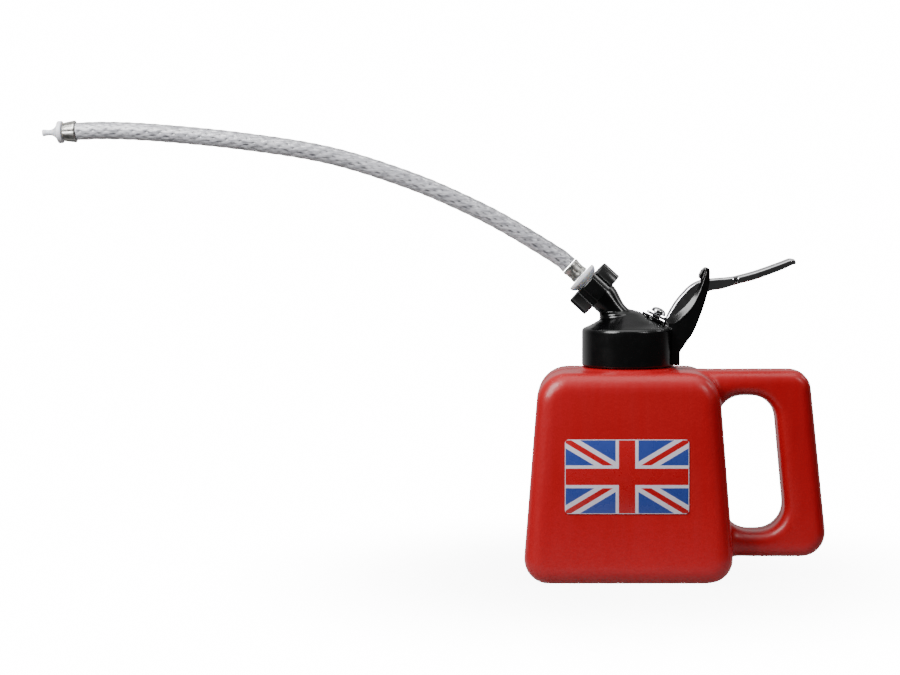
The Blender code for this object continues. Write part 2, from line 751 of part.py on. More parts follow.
def build_lever(chrome):
    """A steel pressing: a web with a flange down each side, wider under the thumb, with a forked toe."""
    axis = bpy.data.objects["lever_axis"]
    about = (PIVOT.x, PIVOT.z)
    upper, tip, lower = lever_upper_edge(), lever_tip(), lever_lower_edge()
    outline = upper + tip + lower + lever_ear()
    lever = plate("lever", outline, LEVER_HALF, about, axis, chrome)
    under_web = offset_line(upper, SHEET)
    first = under_web[0]
    below = [(71.6, 141.2), (76.0, 139.0), (76.0, 120.0), (30.0, 100.0), (16.0, 100.0)]
    inner = [(first[0] - 0.2, first[1] - 3.5), *under_web[1:-1], *below]
    channel = plate("lever_channel", inner, LEVER_HALF - SHEET, about, axis, cutter=True)

    split = 7  # the upper edge's point where the thumb pad starts
    pad_lower = [p for p in lower if p[0] > upper[split][0] - 1.5]
    pad_outline = [(47.4, 135.15), *upper[split:], *tip, *pad_lower]
    pad = plate("thumb_pad", pad_outline, THUMB_HALF, about, axis, cutter=True)
    pad_below = [(71.6, 141.2), (73.6, 141.6), (74.2, 138.0), (70.0, 128.0)]
    pad_inner = [(48.6, 130.0), (48.6, 134.2), *under_web[split:-1], *pad_below]
    pad_channel = plate("thumb_pad_channel", pad_inner, THUMB_HALF - SHEET, about, axis, cutter=True)

    toe_low, toe_high = 0.7, 1.9
    toe_end, toe_root = -4.8, 5.6
    toe_corners = [(toe_end, toe_low), (toe_root, toe_low), (toe_root, toe_high), (toe_end, toe_high)]
    toe_points = [PUMP_ORIGIN + PUMP_ACROSS * a + PUMP_UP * b for a, b in toe_corners]
    toe = plate("toe", [(p.x, p.z) for p in toe_points], LEVER_HALF, about, axis, cutter=True)
    fork_corners = [(-9.0, -1.0), (2.6, -1.0), (2.6, 4.0), (-9.0, 4.0)]
    fork_points = [PUMP_ORIGIN + PUMP_ACROSS * a + PUMP_UP * b for a, b in fork_corners]
    fork = plate("fork_slot", [(p.x, p.z) for p in fork_points], 2.1, about, axis, cutter=True)
    eye = cross_cylinder("lever_eye", 1.65, -8, 8, (0, 0), axis, cutter=True)
    cut(lever, channel)
    join(lever, pad, toe)
    cut(lever, pad_channel, fork, eye)


def build_pivot_pin(steel):
    low, high = -FIN_HALF + 0.8, FIN_HALF
    cross_cylinder("pivot_pin", 1.5, low, high, (0, 0), bpy.data.objects["lever_axis"], steel)


# ---------------------------------------------------------------- the spout
def build_coupling_nut(black):
    axis = bpy.data.objects["spout_axis"]
    crest, lip_bore, thread_bore = 11.7, 5.9, 7.9
    nut = turned(
        "coupling_nut",
        [
            (crest - 0.8, NUT_HALF),
            (crest, NUT_HALF - 0.8),
            (crest, -NUT_HALF + 0.4),
            (crest - 0.4, -NUT_HALF),
            (thread_bore, -NUT_HALF),
            (thread_bore, 2.7),
            (lip_bore, 2.7),
            (lip_bore, NUT_HALF),
        ],
        axis,
        black,
        LARGE_ROUND,
        loop=True,
    )
    low = -4.3 + SPOUT_PITCH / 2
    ridge = thread("nut_thread", thread_bore + 0.3, 7.1, SPOUT_PITCH, SPOUT_TURNS, low, (1.2, 0.5), nut)
    join(nut, ridge)
    lugs = 8
    for i in range(lugs):
        flute = box(f"nut_flute_{i}", (-1.5, -1.5, -NUT_HALF - 1), (1.5, 1.5, NUT_HALF + 1), nut, cutter=True)
        angle = math.tau * (i + 0.5) / lugs
        flute.location = (12.0 * MM * math.cos(angle), 12.0 * MM * math.sin(angle), 0)
        flute.rotation_euler.z = angle
        cut(nut, flute)


def build_spout_fittings(white, rubber, steel):
    axis = bpy.data.objects["spout_axis"]
    tube("spout_seal", 3.0, 6.4, -0.1, 0.9, axis, rubber)
    turned(
        "spout_adapter",
        [
            (4.2, 8.2),
            (7.0, 8.2),
            (7.5, 7.8),
            (7.5, 6.9),
            (6.5, 5.6),
            (5.6, 4.9),
            (5.6, 2.4),
            (6.9, 2.4),
            (6.9, 1.2),
            (2.6, 1.2),
            (2.6, -2.8),
            (1.3, -2.8),
            (1.3, 8.2),
        ],
        axis,
        white,
        loop=True,
    )
    crimped = [(4.3, 14.7), (4.3, 13.6), (4.05, 13.0), (4.05, 10.2), (4.2, 9.4)]
    turned("base_ferrule", [(0, 15.1), (4.0, 15.1), *crimped, (4.0, 8.5), (0, 8.5)], axis, steel, 24)


def build_hose(clear):
    """The free hose between its two ferrules."""
    pipe("spout_hose", smooth_route(HOSE_ROUTE, 8.0), HOSE_RADIUS, 3, clear)


def build_spout_tip(white, steel):
    """The crimped ferrule and the nozzle on the hose's far end, along the hose's last direction."""
    axis = bpy.data.objects["tip_axis"]
    turned(
        "tip_ferrule",
        [(0, 6.1), (4.1, 6.1), (4.4, 5.4), (5.0, 1.0), (4.7, 0.3), (0, 0.3)],
        axis,
        steel,
        24,
    )
    turned(
        "nozzle_tip",
        [
            (1.0, 15.4),
            (1.5, 15.2),
            (1.5, 14.0),
            (1.25, 13.2),
            (1.3, 11.4),
            (1.9, 10.2),
            (3.4, 8.9),
            (4.6, 8.4),
            (5.0, 7.9),
            (5.0, 6.8),
            (4.7, 6.4),
            (0.7, 6.4),
            (0.7, 15.4),
        ],
        axis,
        white,
        24,
        loop=True,
    )


# ---------------------------------------------------------------- the model
def build_axes():
    """The joints' axes: pump, plunger, lever, spout and the valve balls."""
    axis_empty("pump_axis", PUMP_ORIGIN, TILT)
    axis_empty("plunger_axis", PUMP_ORIGIN, TILT)
    axis_empty("lever_axis", PIVOT, 0)
    axis_empty("foot_ball_axis", PUMP_ORIGIN - PUMP_UP * 36.95, TILT)
    lean = -(math.pi / 2 - RISE)
    axis_empty("spout_axis", SPOUT_ORIGIN, lean)
    axis_empty("delivery_ball_axis", SPOUT_ORIGIN - SPOUT_OUT * 11.3, lean)
    end = Vector(HOSE_ROUTE[-1])
    out = (end - Vector(HOSE_ROUTE[-2])).normalized()
    axis_empty("tip_axis", (end.x, 0, end.y), math.atan2(out.x, out.y))


def build():
    clear_scene()
    collection(COLLECTION)
    collection(CUTTERS)
    red = material("red_polyethylene", (0.52, 0.012, 0.008), 0.38)
    black = material("black_nylon", (0.006, 0.006, 0.007), 0.18)
    chrome = material("chrome_plate", (0.72, 0.72, 0.72), 0.08, 1.0)
    steel = material("steel", (0.45, 0.45, 0.43), 0.3, 1.0)
    white = material("white_nylon", (0.66, 0.68, 0.74), 0.4)
    natural = material("natural_nylon", (0.72, 0.7, 0.62), 0.45)
    rubber = material("black_rubber", (0.015, 0.015, 0.015), 0.7)
    clear = material("clear_pvc", (0.6, 0.61, 0.64), 0.25, alpha=0.8)
    vinyl = material("label_vinyl", (0.7, 0.7, 0.72), 0.3)
    build_axes()
    build_container(red)
    build_label(vinyl)
    build_head(black)
    build_gasket(rubber)
    build_gland(black, rubber, steel)
    build_plunger(chrome, steel, black, rubber)
    build_barrel(natural, steel)
    build_suction(natural, natural)
    build_pump_springs(steel)
    build_valve_balls(steel)
    build_lever(chrome)
    build_pivot_pin(steel)
    build_coupling_nut(black)
    build_spout_fittings(white, rubber, steel)
    build_hose(clear)
    build_spout_tip(white, steel)


build()
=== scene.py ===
import json
import math

import bmesh
import bpy
from mathutils import Matrix, Vector


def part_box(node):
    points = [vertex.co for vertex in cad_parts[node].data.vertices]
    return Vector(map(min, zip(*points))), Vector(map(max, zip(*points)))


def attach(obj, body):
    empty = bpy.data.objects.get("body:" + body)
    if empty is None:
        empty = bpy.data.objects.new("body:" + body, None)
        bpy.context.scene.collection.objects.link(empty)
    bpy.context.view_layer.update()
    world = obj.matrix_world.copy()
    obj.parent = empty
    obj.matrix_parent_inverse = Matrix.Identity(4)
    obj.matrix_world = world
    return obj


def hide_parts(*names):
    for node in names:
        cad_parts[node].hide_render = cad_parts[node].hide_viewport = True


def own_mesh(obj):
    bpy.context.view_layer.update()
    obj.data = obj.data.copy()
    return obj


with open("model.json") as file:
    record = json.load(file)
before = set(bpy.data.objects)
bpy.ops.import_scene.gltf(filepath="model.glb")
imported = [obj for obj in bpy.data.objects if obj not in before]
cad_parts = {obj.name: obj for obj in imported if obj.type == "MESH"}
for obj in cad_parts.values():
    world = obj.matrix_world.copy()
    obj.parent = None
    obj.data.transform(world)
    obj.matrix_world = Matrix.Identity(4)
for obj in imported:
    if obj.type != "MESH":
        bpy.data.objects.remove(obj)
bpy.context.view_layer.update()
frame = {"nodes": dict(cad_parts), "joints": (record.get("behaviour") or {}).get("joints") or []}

MM = 0.001

# -------------------------------- shared sizes, mm, as in the CAD
CAN_HEIGHT = 93.3
CAN_HALF_WIDTH = (47.2, 39.8)  # at the base and at the top
CAN_HALF_DEPTH = (32.0, 28.0)
CAN_EDGE_ROUND = 8.0
CAN_CORNERS = (11.0, 14.0)
WALL = 2.0
HANDLE_TOP, HANDLE_BOTTOM = 93.2, 9.0
HANDLE_OUTER = (81.3, 90.2)
HANDLE_HALF_DEPTH, HANDLE_EDGE_ROUND = 11.0, 5.2
GAP_TOP, GAP_BOTTOM = 81.8, 20.5
GAP_INNER = (65.6, 71.4)
GAP_CORNER = 11.5
NECK_RADIUS, NECK_BORE, NECK_TOP, NECK_CREST, NECK_PITCH = 17.3, 15.5, 105.0, 18.5, 3.5
NECK_THREAD_LOW, BOSS_THREAD_LOW = 96.6, -4.3  # up the neck, and along the spout's axis
NECK_RIDGE, SPOUT_RIDGE = (2.0, 0.8), (1.2, 0.5)  # widths at the root and at the crest
SKIRT_RADIUS, SKIRT_BORE, SKIRT_BOTTOM, SKIRT_CREST, CEILING = 20.7, 18.9, 95.0, 17.9, 106.7
DOME_SHOULDER = 112.3
SLOT_HALF, FIN_HALF, LEVER_HALF, THUMB_HALF, SHEET = 4.35, 5.75, 4.0, 6.4, 1.1
PIN_HOLE = 1.65  # radius
NUT_HALF, NUT_CREST, SPOUT_PITCH = 4.6, 11.7, 2.0
LABEL_HALF = (27.2, 16.3)
HOSE_RADIUS = 4.0
HOSE_ROUTE = [
    (-26.4, 140.0), (-29.6, 142.9), (-35.3, 146.6), (-53.2, 157.4), (-71.3, 166.8), (-98.0, 178.2),
    (-134.2, 189.4), (-175.0, 195.9), (-215.2, 199.7), (-238.0, 200.4), (-246.9, 200.0),
]

# -------------------------------- axes, from the frame's joints
JOINTS = {joint["name"]: joint for joint in frame["joints"]}


def axis_matrix(origin, direction):
    """Places local Z along a direction in the plane Y = 0, at an origin in metres."""
    return Matrix.Translation(origin) @ Matrix.Rotation(math.atan2(direction.x, direction.z), 4, "Y")


PUMP_ORIGIN = Vector((12.6, 0, 116.3)) * MM
PUMP_UP = Vector(JOINTS["plunger_lift"]["axis"])
SPOUT_OUT = Vector(JOINTS["spout_swivel"]["axis"])
SPOUT_ORIGIN = Vector(JOINTS["spout_swivel"]["pos_m"])
PIVOT = Vector(JOINTS["lever_press"]["pos_m"])
ROUTE_END, ROUTE_LAST = (Vector((x, 0, z)) * MM for x, z in (HOSE_ROUTE[-1], HOSE_ROUTE[-2]))
UPRIGHT = Matrix.Identity(4)
PUMP = axis_matrix(PUMP_ORIGIN, PUMP_UP)
SPOUT = axis_matrix(SPOUT_ORIGIN, SPOUT_OUT)
TIP = axis_matrix(ROUTE_END, ROUTE_END - ROUTE_LAST)
PIN = Matrix.Translation(PIVOT) @ Matrix.Rotation(-math.pi / 2, 4, "X")  # local Z to world Y
SIDE = Matrix(((1, 0, 0, 0), (0, 0, -1, 0), (0, 1, 0, 0), (0, 0, 0, 1)))  # local XY to world XZ


# -------------------------------- outlines
def arc(centre, radius, start, end, steps):
    angles = [math.radians(start + (end - start) * i / steps) for i in range(steps + 1)]
    return [(centre[0] + radius * math.cos(a), centre[1] + radius * math.sin(a)) for a in angles]


def dome_line(radius, rise, rim_height, degrees):
    """A dome's profile from its crown to its rim, at these degrees from its axis."""
    angles = [math.radians(degree) for degree in degrees]
    return [(radius * math.sin(a), rim_height + rise * math.cos(a)) for a in angles]


def rounded(corners, radii, steps=6, closed=True):
    """An outline with a tangent arc at each corner whose radius isn't zero."""
    if not isinstance(radii, (list, tuple)):
        radii = [radii] * len(corners)
    points = []
    count = len(corners)
    for i, (corner, radius) in enumerate(zip(corners, radii)):
        here = Vector(corner)
        if not radius or (not closed and i in (0, count - 1)):
            points.append(tuple(here))
            continue
        back = Vector(corners[i - 1]) - here
        ahead = Vector(corners[(i + 1) % count]) - here
        half = back.angle(ahead) / 2
        reach = min(radius / math.tan(half), 0.49 * back.length, 0.49 * ahead.length)
        radius = reach * math.tan(half)
        back.normalize()
        ahead.normalize()
        centre = here + (back + ahead).normalized() * radius / math.sin(half)
        first = here + back * reach - centre
        last = here + ahead * reach - centre
        sweep = first.angle_signed(last)
        for k in range(steps + 1):
            turn = -sweep * k / steps
            cos, sin = math.cos(turn), math.sin(turn)
            x = centre[0] + first[0] * cos - first[1] * sin
            points.append((x, centre[1] + first[0] * sin + first[1] * cos))
    return points


def smooth_line(points, spacing=None, steps=None):
    """Points on a Catmull-Rom curve through points, about spacing apart or steps a span."""
    route = [Vector(p) for p in points]
    padded = [2 * route[0] - route[1], *route, 2 * route[-1] - route[-2]]
    found = []
    for p0, p1, p2, p3 in zip(padded, padded[1:], padded[2:], padded[3:]):
        count = steps or max(1, round((p2 - p1).length / spacing))
        for k in range(count):
            t = k / count
            even = 2 * p1 + (p2 - p0) * t + (2 * p0 - 5 * p1 + 4 * p2 - p3) * t**2
            found.append((even + (3 * p1 - p0 - 3 * p2 + p3) * t**3) / 2)
    return [*found, route[-1]]


def smoothstep(low, high, value):
    t = min(1.0, max(0.0, (value - low) / (high - low)))
    return t * t * (3 - 2 * t)


def angle_between(one, two):
    return abs((one - two + math.pi) % math.tau - math.pi)


# -------------------------------- mesh tools
def as_object(name, bm, matrix=UPRIGHT):
    """An object from a bmesh in millimetres, placed in the frame in metres."""
    bmesh.ops.recalc_face_normals(bm, faces=bm.faces)
    mesh = bpy.data.meshes.new(name)
    bm.to_mesh(mesh)
    bm.free()
    mesh.transform(matrix @ Matrix.Scale(MM, 4))
    obj = bpy.data.objects.new(name, mesh)
    bpy.context.scene.collection.objects.link(obj)
    return obj


def skin(bm, rings):
    """Joins a row of equal rings with faces, and closes both its ends."""
    count = len(rings[0])
    for one, two in zip(rings, rings[1:]):
        for i in range(count):
            k = (i + 1) % count
            bm.faces.new((one[i], one[k], two[k], two[i]))
    bm.faces.new(rings[0])
    bm.faces.new(rings[-1])


def across_path(path, i):
    """The direction square to a path in a plane Y = const, at its point i."""
    ahead = (path[min(i + 1, len(path) - 1)] - path[max(i - 1, 0)]).normalized()
    return Vector((-ahead.z, 0, ahead.x))


def lathe(name, profile, matrix=UPRIGHT, steps=96, loop=False, shape=None):
    """A body turned about local Z. shape(angle, radius, height) gives a changed radius."""
    bm = bmesh.new()
    rings = []
    for radius, height in profile:
        if radius < 1e-6:
            rings.append([bm.verts.new((0, 0, height))] * steps)
            continue
        ring = []
        for i in range(steps):
            angle = math.tau * i / steps
            r = shape(angle, radius, height) if shape else radius
            ring.append(bm.verts.new((r * math.cos(angle), r * math.sin(angle), height)))
        rings.append(ring)
    pairs = list(zip(rings, rings[1:]))
    if loop:
        pairs.append((rings[-1], rings[0]))
    for one, two in pairs:
        for i in range(steps):
            k = (i + 1) % steps
            corners = []
            for vert in (one[i], two[i], two[k], one[k]):
                if vert not in corners:
                    corners.append(vert)
            if len(corners) > 2:
                bm.faces.new(corners)
    return as_object(name, bm, matrix)


def prism(name, outline, low, high, matrix=SIDE, bevel=0.0, segments=3):
    """A flat outline in local X and Y, from low to high along local Z, with its rims rounded."""
    bm = bmesh.new()
    face = bm.faces.new([bm.verts.new((x, y, low)) for x, y in outline])
    made = bmesh.ops.extrude_face_region(bm, geom=[face])
    moved = [v for v in made["geom"] if isinstance(v, bmesh.types.BMVert)]
    bmesh.ops.translate(bm, verts=moved, vec=(0, 0, high - low))
    bmesh.ops.recalc_face_normals(bm, faces=bm.faces)
    if bevel:
        rims = [e for e in bm.edges if abs(e.verts[0].co.z - e.verts[1].co.z) < 1e-5]
        settings = {"segments": segments, "profile": 0.5, "affect": "EDGES", "clamp_overlap": False}
        bmesh.ops.bevel(bm, geom=rims, offset=bevel, **settings)
    return as_object(name, bm, matrix)


def thread(name, root, crest, pitch, turns, low, ridge, matrix=UPRIGHT):
    """One helical ridge about local Z whose ends run out into the wall."""
    per_turn = 48
    count = round(per_turn * turns)
    bm = bmesh.new()
    rings = []
    for i in range(count + 1):
        turn = math.tau * i / per_turn
        fade = min(1.0, 0.15 + min(i, count - i) / 9)
        top = root + (crest - root) * fade
        foot_half, crest_half = ridge[0] / 2, ridge[1] / 2
        section = [(root, foot_half), (top, crest_half), (top, -crest_half), (root, -foot_half)]
        height = low + pitch * i / per_turn
        ring = [(r * math.cos(turn), r * math.sin(turn), height + offset) for r, offset in section]
        rings.append([bm.verts.new(place) for place in ring])
    skin(bm, rings)
    return as_object(name, bm, matrix)


def tube_along(name, points, radius, sides=16):
    """A closed round bar through points in the plane Y = const, in millimetres."""
    bm = bmesh.new()
    rings = []
    for i, point in enumerate(points):
        across = across_path(points, i)
        ring = []
        for k in range(sides):
            angle = math.tau * k / sides
            aside = Vector((0, radius * math.sin(angle), 0))
            ring.append(bm.verts.new(point + across * radius * math.cos(angle) + aside))
        rings.append(ring)
    skin(bm, rings)
    return as_object(name, bm)


def bake(obj):
    """Applies obj's modifiers to its mesh."""
    bpy.context.view_layer.update()
    graph = bpy.context.evaluated_depsgraph_get()
    mesh = bpy.data.meshes.new_from_object(obj.evaluated_get(graph))
    obj.modifiers.clear()
    obj.data = mesh


def boolean(obj, others, operation):
    """Joins others to obj, or cuts them from it, and removes them."""
    for other in others:
        modifier = obj.modifiers.new(operation, "BOOLEAN")
        modifier.operation = operation
        modifier.object = other
        modifier.solver = "MANIFOLD"
        bake(obj)
        bpy.data.objects.remove(other)


def merged(name, pieces):
    """One object that holds the meshes of several."""
    bm = bmesh.new()
    for piece in pieces:
        bm.from_mesh(piece.data)
        bpy.data.objects.remove(piece)
    mesh = bpy.data.meshes.new(name)
    bm.to_mesh(mesh)
    bm.free()
    obj = bpy.data.objects.new(name, mesh)
    bpy.context.scene.collection.objects.link(obj)
    return obj


def moulded(obj, voxel, passes, extra_passes=0, where=None):
    """Fuses obj's shells to one skin and softens its edges, more so where a point's weight says."""
    remesh = obj.modifiers.new("skin", "REMESH")
    remesh.mode = "VOXEL"
    remesh.voxel_size = voxel * MM
    bake(obj)
    if where:
        group = obj.vertex_groups.new(name="soft")
        for vertex in obj.data.vertices:
            weight = where(vertex.co / MM)
            if weight > 0:
                group.add([vertex.index], weight, "REPLACE")
        extra = obj.modifiers.new("fillets", "SMOOTH")
        extra.factor = 0.5
        extra.iterations = extra_passes
        extra.vertex_group = "soft"
    soften = obj.modifiers.new("soften", "SMOOTH")
    soften.factor = 0.5
    soften.iterations = passes
    bake(obj)
    obj.vertex_groups.clear()
    return obj


def show(obj, body, look, slot, *replaced, sharp=40):
    """Finishes a piece: shading, material, body and the CAD nodes it stands for. Its slot argument is not
    used.
    """
    obj.data.shade_smooth()
    obj.data.set_sharp_from_angle(angle=math.radians(sharp))
    obj.data.materials.clear()
    obj.data.materials.append(look)
    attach(obj, body)
    if replaced:
        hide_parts(*replaced)


# -------------------------------- materials
def set_range(node, from_low, from_high, low, high):
    """Sets what a Map Range node reads and gives."""
    for name, number in zip(("From Min", "From Max", "To Min", "To Max"), (from_low, from_high, low, high)):
        node.inputs[name].default_value = number
    return node.outputs[0]


class Look:
    """A material under construction: Principled BSDF, object coordinates and a few node helpers."""

    def __init__(self, name, **sockets):
        self.material = bpy.data.materials.new(name)
        self.material.use_nodes = True
        self.tree = self.material.node_tree
        self.shader = self.tree.nodes["Principled BSDF"]
        for socket, value in sockets.items():
            self.shader.inputs[socket.replace("_", " ")].default_value = value
        self.place = self.tree.nodes.new("ShaderNodeTexCoord").outputs["Object"]

    def node(self, kind, **inputs):
        node = self.tree.nodes.new(kind)
        for name, value in inputs.items():
            self.feed(node.inputs[name.replace("_", " ")], value)
        return node

    def feed(self, socket, value):
        if isinstance(value, bpy.types.NodeSocket):
            self.tree.links.new(value, socket)
        else:
            socket.default_value = value

    def math(self, operation, *values):
        node = self.tree.nodes.new("ShaderNodeMath")
        node.operation = operation
        for socket, value in zip(node.inputs, values):
            self.feed(socket, value)
        return node.outputs[0]

    def noise(self, scale, detail=3.0, roughness=0.5, place=None, distortion=0.0):
        node = self.node("ShaderNodeTexNoise", Vector=place or self.place, Scale=scale, Detail=detail)
        node.inputs["Roughness"].default_value = roughness
        node.inputs["Distortion"].default_value = distortion
        return node.outputs["Fac"]

    def stretched(self, scale):
        """Object coordinates scaled unevenly, for scratches and flow lines."""
        return self.node("ShaderNodeMapping", Vector=self.place, Scale=scale).outputs[0]

    def range(self, value, low, high, from_low=0.3, from_high=0.7):
        return set_range(self.node("ShaderNodeMapRange", Value=value), from_low, from_high, low, high)

    def mix(self, share, one, two):
        node = self.tree.nodes.new("ShaderNodeMix")
        node.data_type = "RGBA"
        self.feed(node.inputs[0], share)
        for socket, colour in ((node.inputs[6], one), (node.inputs[7], two)):
            self.feed(socket, colour if isinstance(colour, bpy.types.NodeSocket) else (*colour, 1))
        return node.outputs[2]

    def bump(self, height, strength, distance, before=None):
        node = self.node("ShaderNodeBump", Height=height, Strength=strength, Distance=distance)
        if before:
            self.tree.links.new(before, node.inputs["Normal"])
        return node.outputs[0]

    def finish(self, colour=None, roughness=None, normal=None):
        for name, value in (("Base Color", colour), ("Roughness", roughness), ("Normal", normal)):
            if value is not None:
                self.tree.links.new(value, self.shader.inputs[name])
        return self.material


def red_plastic():
    """Blow-moulded polyethylene: faint mottling, drawn-down flow lines and an orange-peel skin."""
    look = Look("red_polyethylene", IOR=1.5, Specular_IOR_Level=0.5)
    mottle = look.noise(22.0, 4.0, 0.55)
    flow = look.noise(1.0, 3.0, 0.5, look.stretched((320.0, 320.0, 26.0)))
    colour = look.mix(look.range(mottle, 0.0, 1.0), (0.39, 0.0050, 0.0085), (0.44, 0.0062, 0.0105))
    roughness = look.range(flow, 0.29, 0.37)
    peel = look.bump(look.noise(620.0, 2.0, 0.4), 0.16, 0.0004)
    waves = look.bump(look.noise(38.0, 2.0, 0.4), 0.22, 0.0012, peel)
    return look.finish(colour, roughness, waves)


def black_nylon():
    """Glossy moulded nylon with soft sink marks and handling dust."""
    look = Look("black_nylon", IOR=1.53, Specular_IOR_Level=0.55)
    dust = look.range(look.noise(260.0, 6.0, 0.65), 0.0, 1.0, 0.52, 0.75)
    colour = look.mix(dust, (0.0018, 0.0018, 0.0020), (0.005, 0.005, 0.0054))
    roughness = look.range(look.noise(90.0, 5.0, 0.6), 0.13, 0.27)
    fine = look.bump(look.noise(1100.0, 2.0), 0.1, 0.0002)
    waves = look.bump(look.noise(120.0, 2.0, 0.4), 0.25, 0.0004, fine)
    return look.finish(colour, roughness, waves)


def chrome_plate():
    """Bright chromium over a pressing: rippled by the tool, with fine polishing lines."""
    look = Look("chrome_plate", Metallic=1.0)
    lines = look.noise(1.0, 3.0, 0.5, look.stretched((220.0, 4200.0, 220.0)))
    haze = look.noise(340.0, 5.0, 0.6)
    colour = look.mix(look.range(haze, 0.0, 1.0), (0.50, 0.50, 0.51), (0.63, 0.63, 0.64))
    roughness = look.math("ADD", look.range(haze, 0.05, 0.13), look.range(lines, 0.0, 0.05))
    fine = look.bump(lines, 0.08, 0.00008)
    ripple = look.bump(look.noise(150.0, 2.0, 0.45), 0.3, 0.0003, fine)
    return look.finish(colour, roughness, ripple)


def zinc_steel():
    """Zinc-plated steel: cloudy passivation, drawing lines and small dents."""
    look = Look("zinc_steel", Metallic=1.0)
    cloud = look.noise(420.0, 5.0, 0.6, distortion=0.6)
    colour = look.mix(look.range(cloud, 0.0, 1.0), (0.44, 0.435, 0.41), (0.70, 0.695, 0.66))
    roughness = look.range(look.noise(700.0, 4.0, 0.6), 0.28, 0.48)
    lines = look.bump(look.noise(1.0, 2.0, 0.5, look.stretched((300.0, 5000.0, 300.0))), 0.15, 0.0001)
    dents = look.bump(look.noise(330.0, 2.0, 0.5), 0.35, 0.0003, lines)
    return look.finish(colour, roughness, dents)


def moulded_nylon(name, low, high, glow, roughness):
    """White or natural nylon: milky, a little see-through, with a faint gate blush."""
    look = Look(name, IOR=1.53, Subsurface_Weight=glow, Subsurface_Scale=0.0025)
    look.shader.inputs["Subsurface Radius"].default_value = (1.0, 0.9, 0.8)
    blush = look.noise(160.0, 4.0, 0.55)
    colour = look.mix(look.range(blush, 0.0, 1.0), low, high)
    rough = look.range(look.noise(500.0, 4.0, 0.6), roughness - 0.06, roughness + 0.06)
    skin = look.bump(look.noise(900.0, 2.0), 0.15, 0.0002)
    return look.finish(colour, rough, skin)


def black_rubber():
    look = Look("black_rubber", Specular_IOR_Level=0.35)
    bloom = look.noise(300.0, 5.0, 0.6)
    colour = look.mix(look.range(bloom, 0.0, 1.0), (0.012, 0.012, 0.012), (0.028, 0.027, 0.026))
    grain = look.bump(look.noise(1500.0, 3.0), 0.3, 0.0002)
    return look.finish(colour, look.range(bloom, 0.6, 0.78), grain)


def braided_pvc():
    """A clear hose over a grey braid: its weave_and_painted_light attribute is 0 in the gaps and rises
    towards a yarn's crest; it also holds painted shade on the upper side, painted light on the underside and
    painted highlights near 1.
    """
    look = Look("clear_pvc", IOR=1.5, Coat_Weight=1.0, Coat_Roughness=0.14, Coat_IOR=1.5)
    look.shader.inputs["Subsurface Weight"].default_value = 0.5
    look.shader.inputs["Subsurface Scale"].default_value = 0.003
    look.shader.inputs["Subsurface Radius"].default_value = (1.0, 1.0, 1.0)
    weave_and_painted_light = look.tree.nodes.new("ShaderNodeAttribute")
    weave_and_painted_light.attribute_name = "weave_and_painted_light"
    ramp = look.tree.nodes.new("ShaderNodeValToRGB")
    look.tree.links.new(weave_and_painted_light.outputs["Fac"], ramp.inputs["Fac"])
    tones = [
        (0.0, (0.06, 0.062, 0.07)),
        (0.16, (0.20, 0.20, 0.22)),
        (0.34, (0.46, 0.46, 0.50)),
        (0.60, (0.60, 0.60, 0.64)),
        (1.0, (0.95, 0.95, 0.97)),
    ]
    ramp.color_ramp.elements[0].color = (*tones[0][1], 1)
    ramp.color_ramp.elements[1].color = (*tones[-1][1], 1)
    for position, colour in tones[1:-1]:
        ramp.color_ramp.elements.new(position).color = (*colour, 1)
    fibre = look.noise(1.0, 3.0, 0.6, look.stretched((300.0, 1300.0, 1300.0)))
    thread = look.noise(1.0, 2.0, 0.5, look.stretched((200.0, 900.0, 900.0)))
    colour = look.mix(look.range(fibre, 0.0, 0.75, 0.45, 0.66), ramp.outputs["Color"], (0.86, 0.86, 0.89))
    colour = look.mix(look.range(thread, 0.0, 0.62, 0.48, 0.66), colour, (0.16, 0.16, 0.18))
    roughness = look.range(look.noise(600.0, 3.0), 0.25, 0.45)
    skin = look.bump(fibre, 0.25, 0.0002)
    return look.finish(colour, roughness, skin)


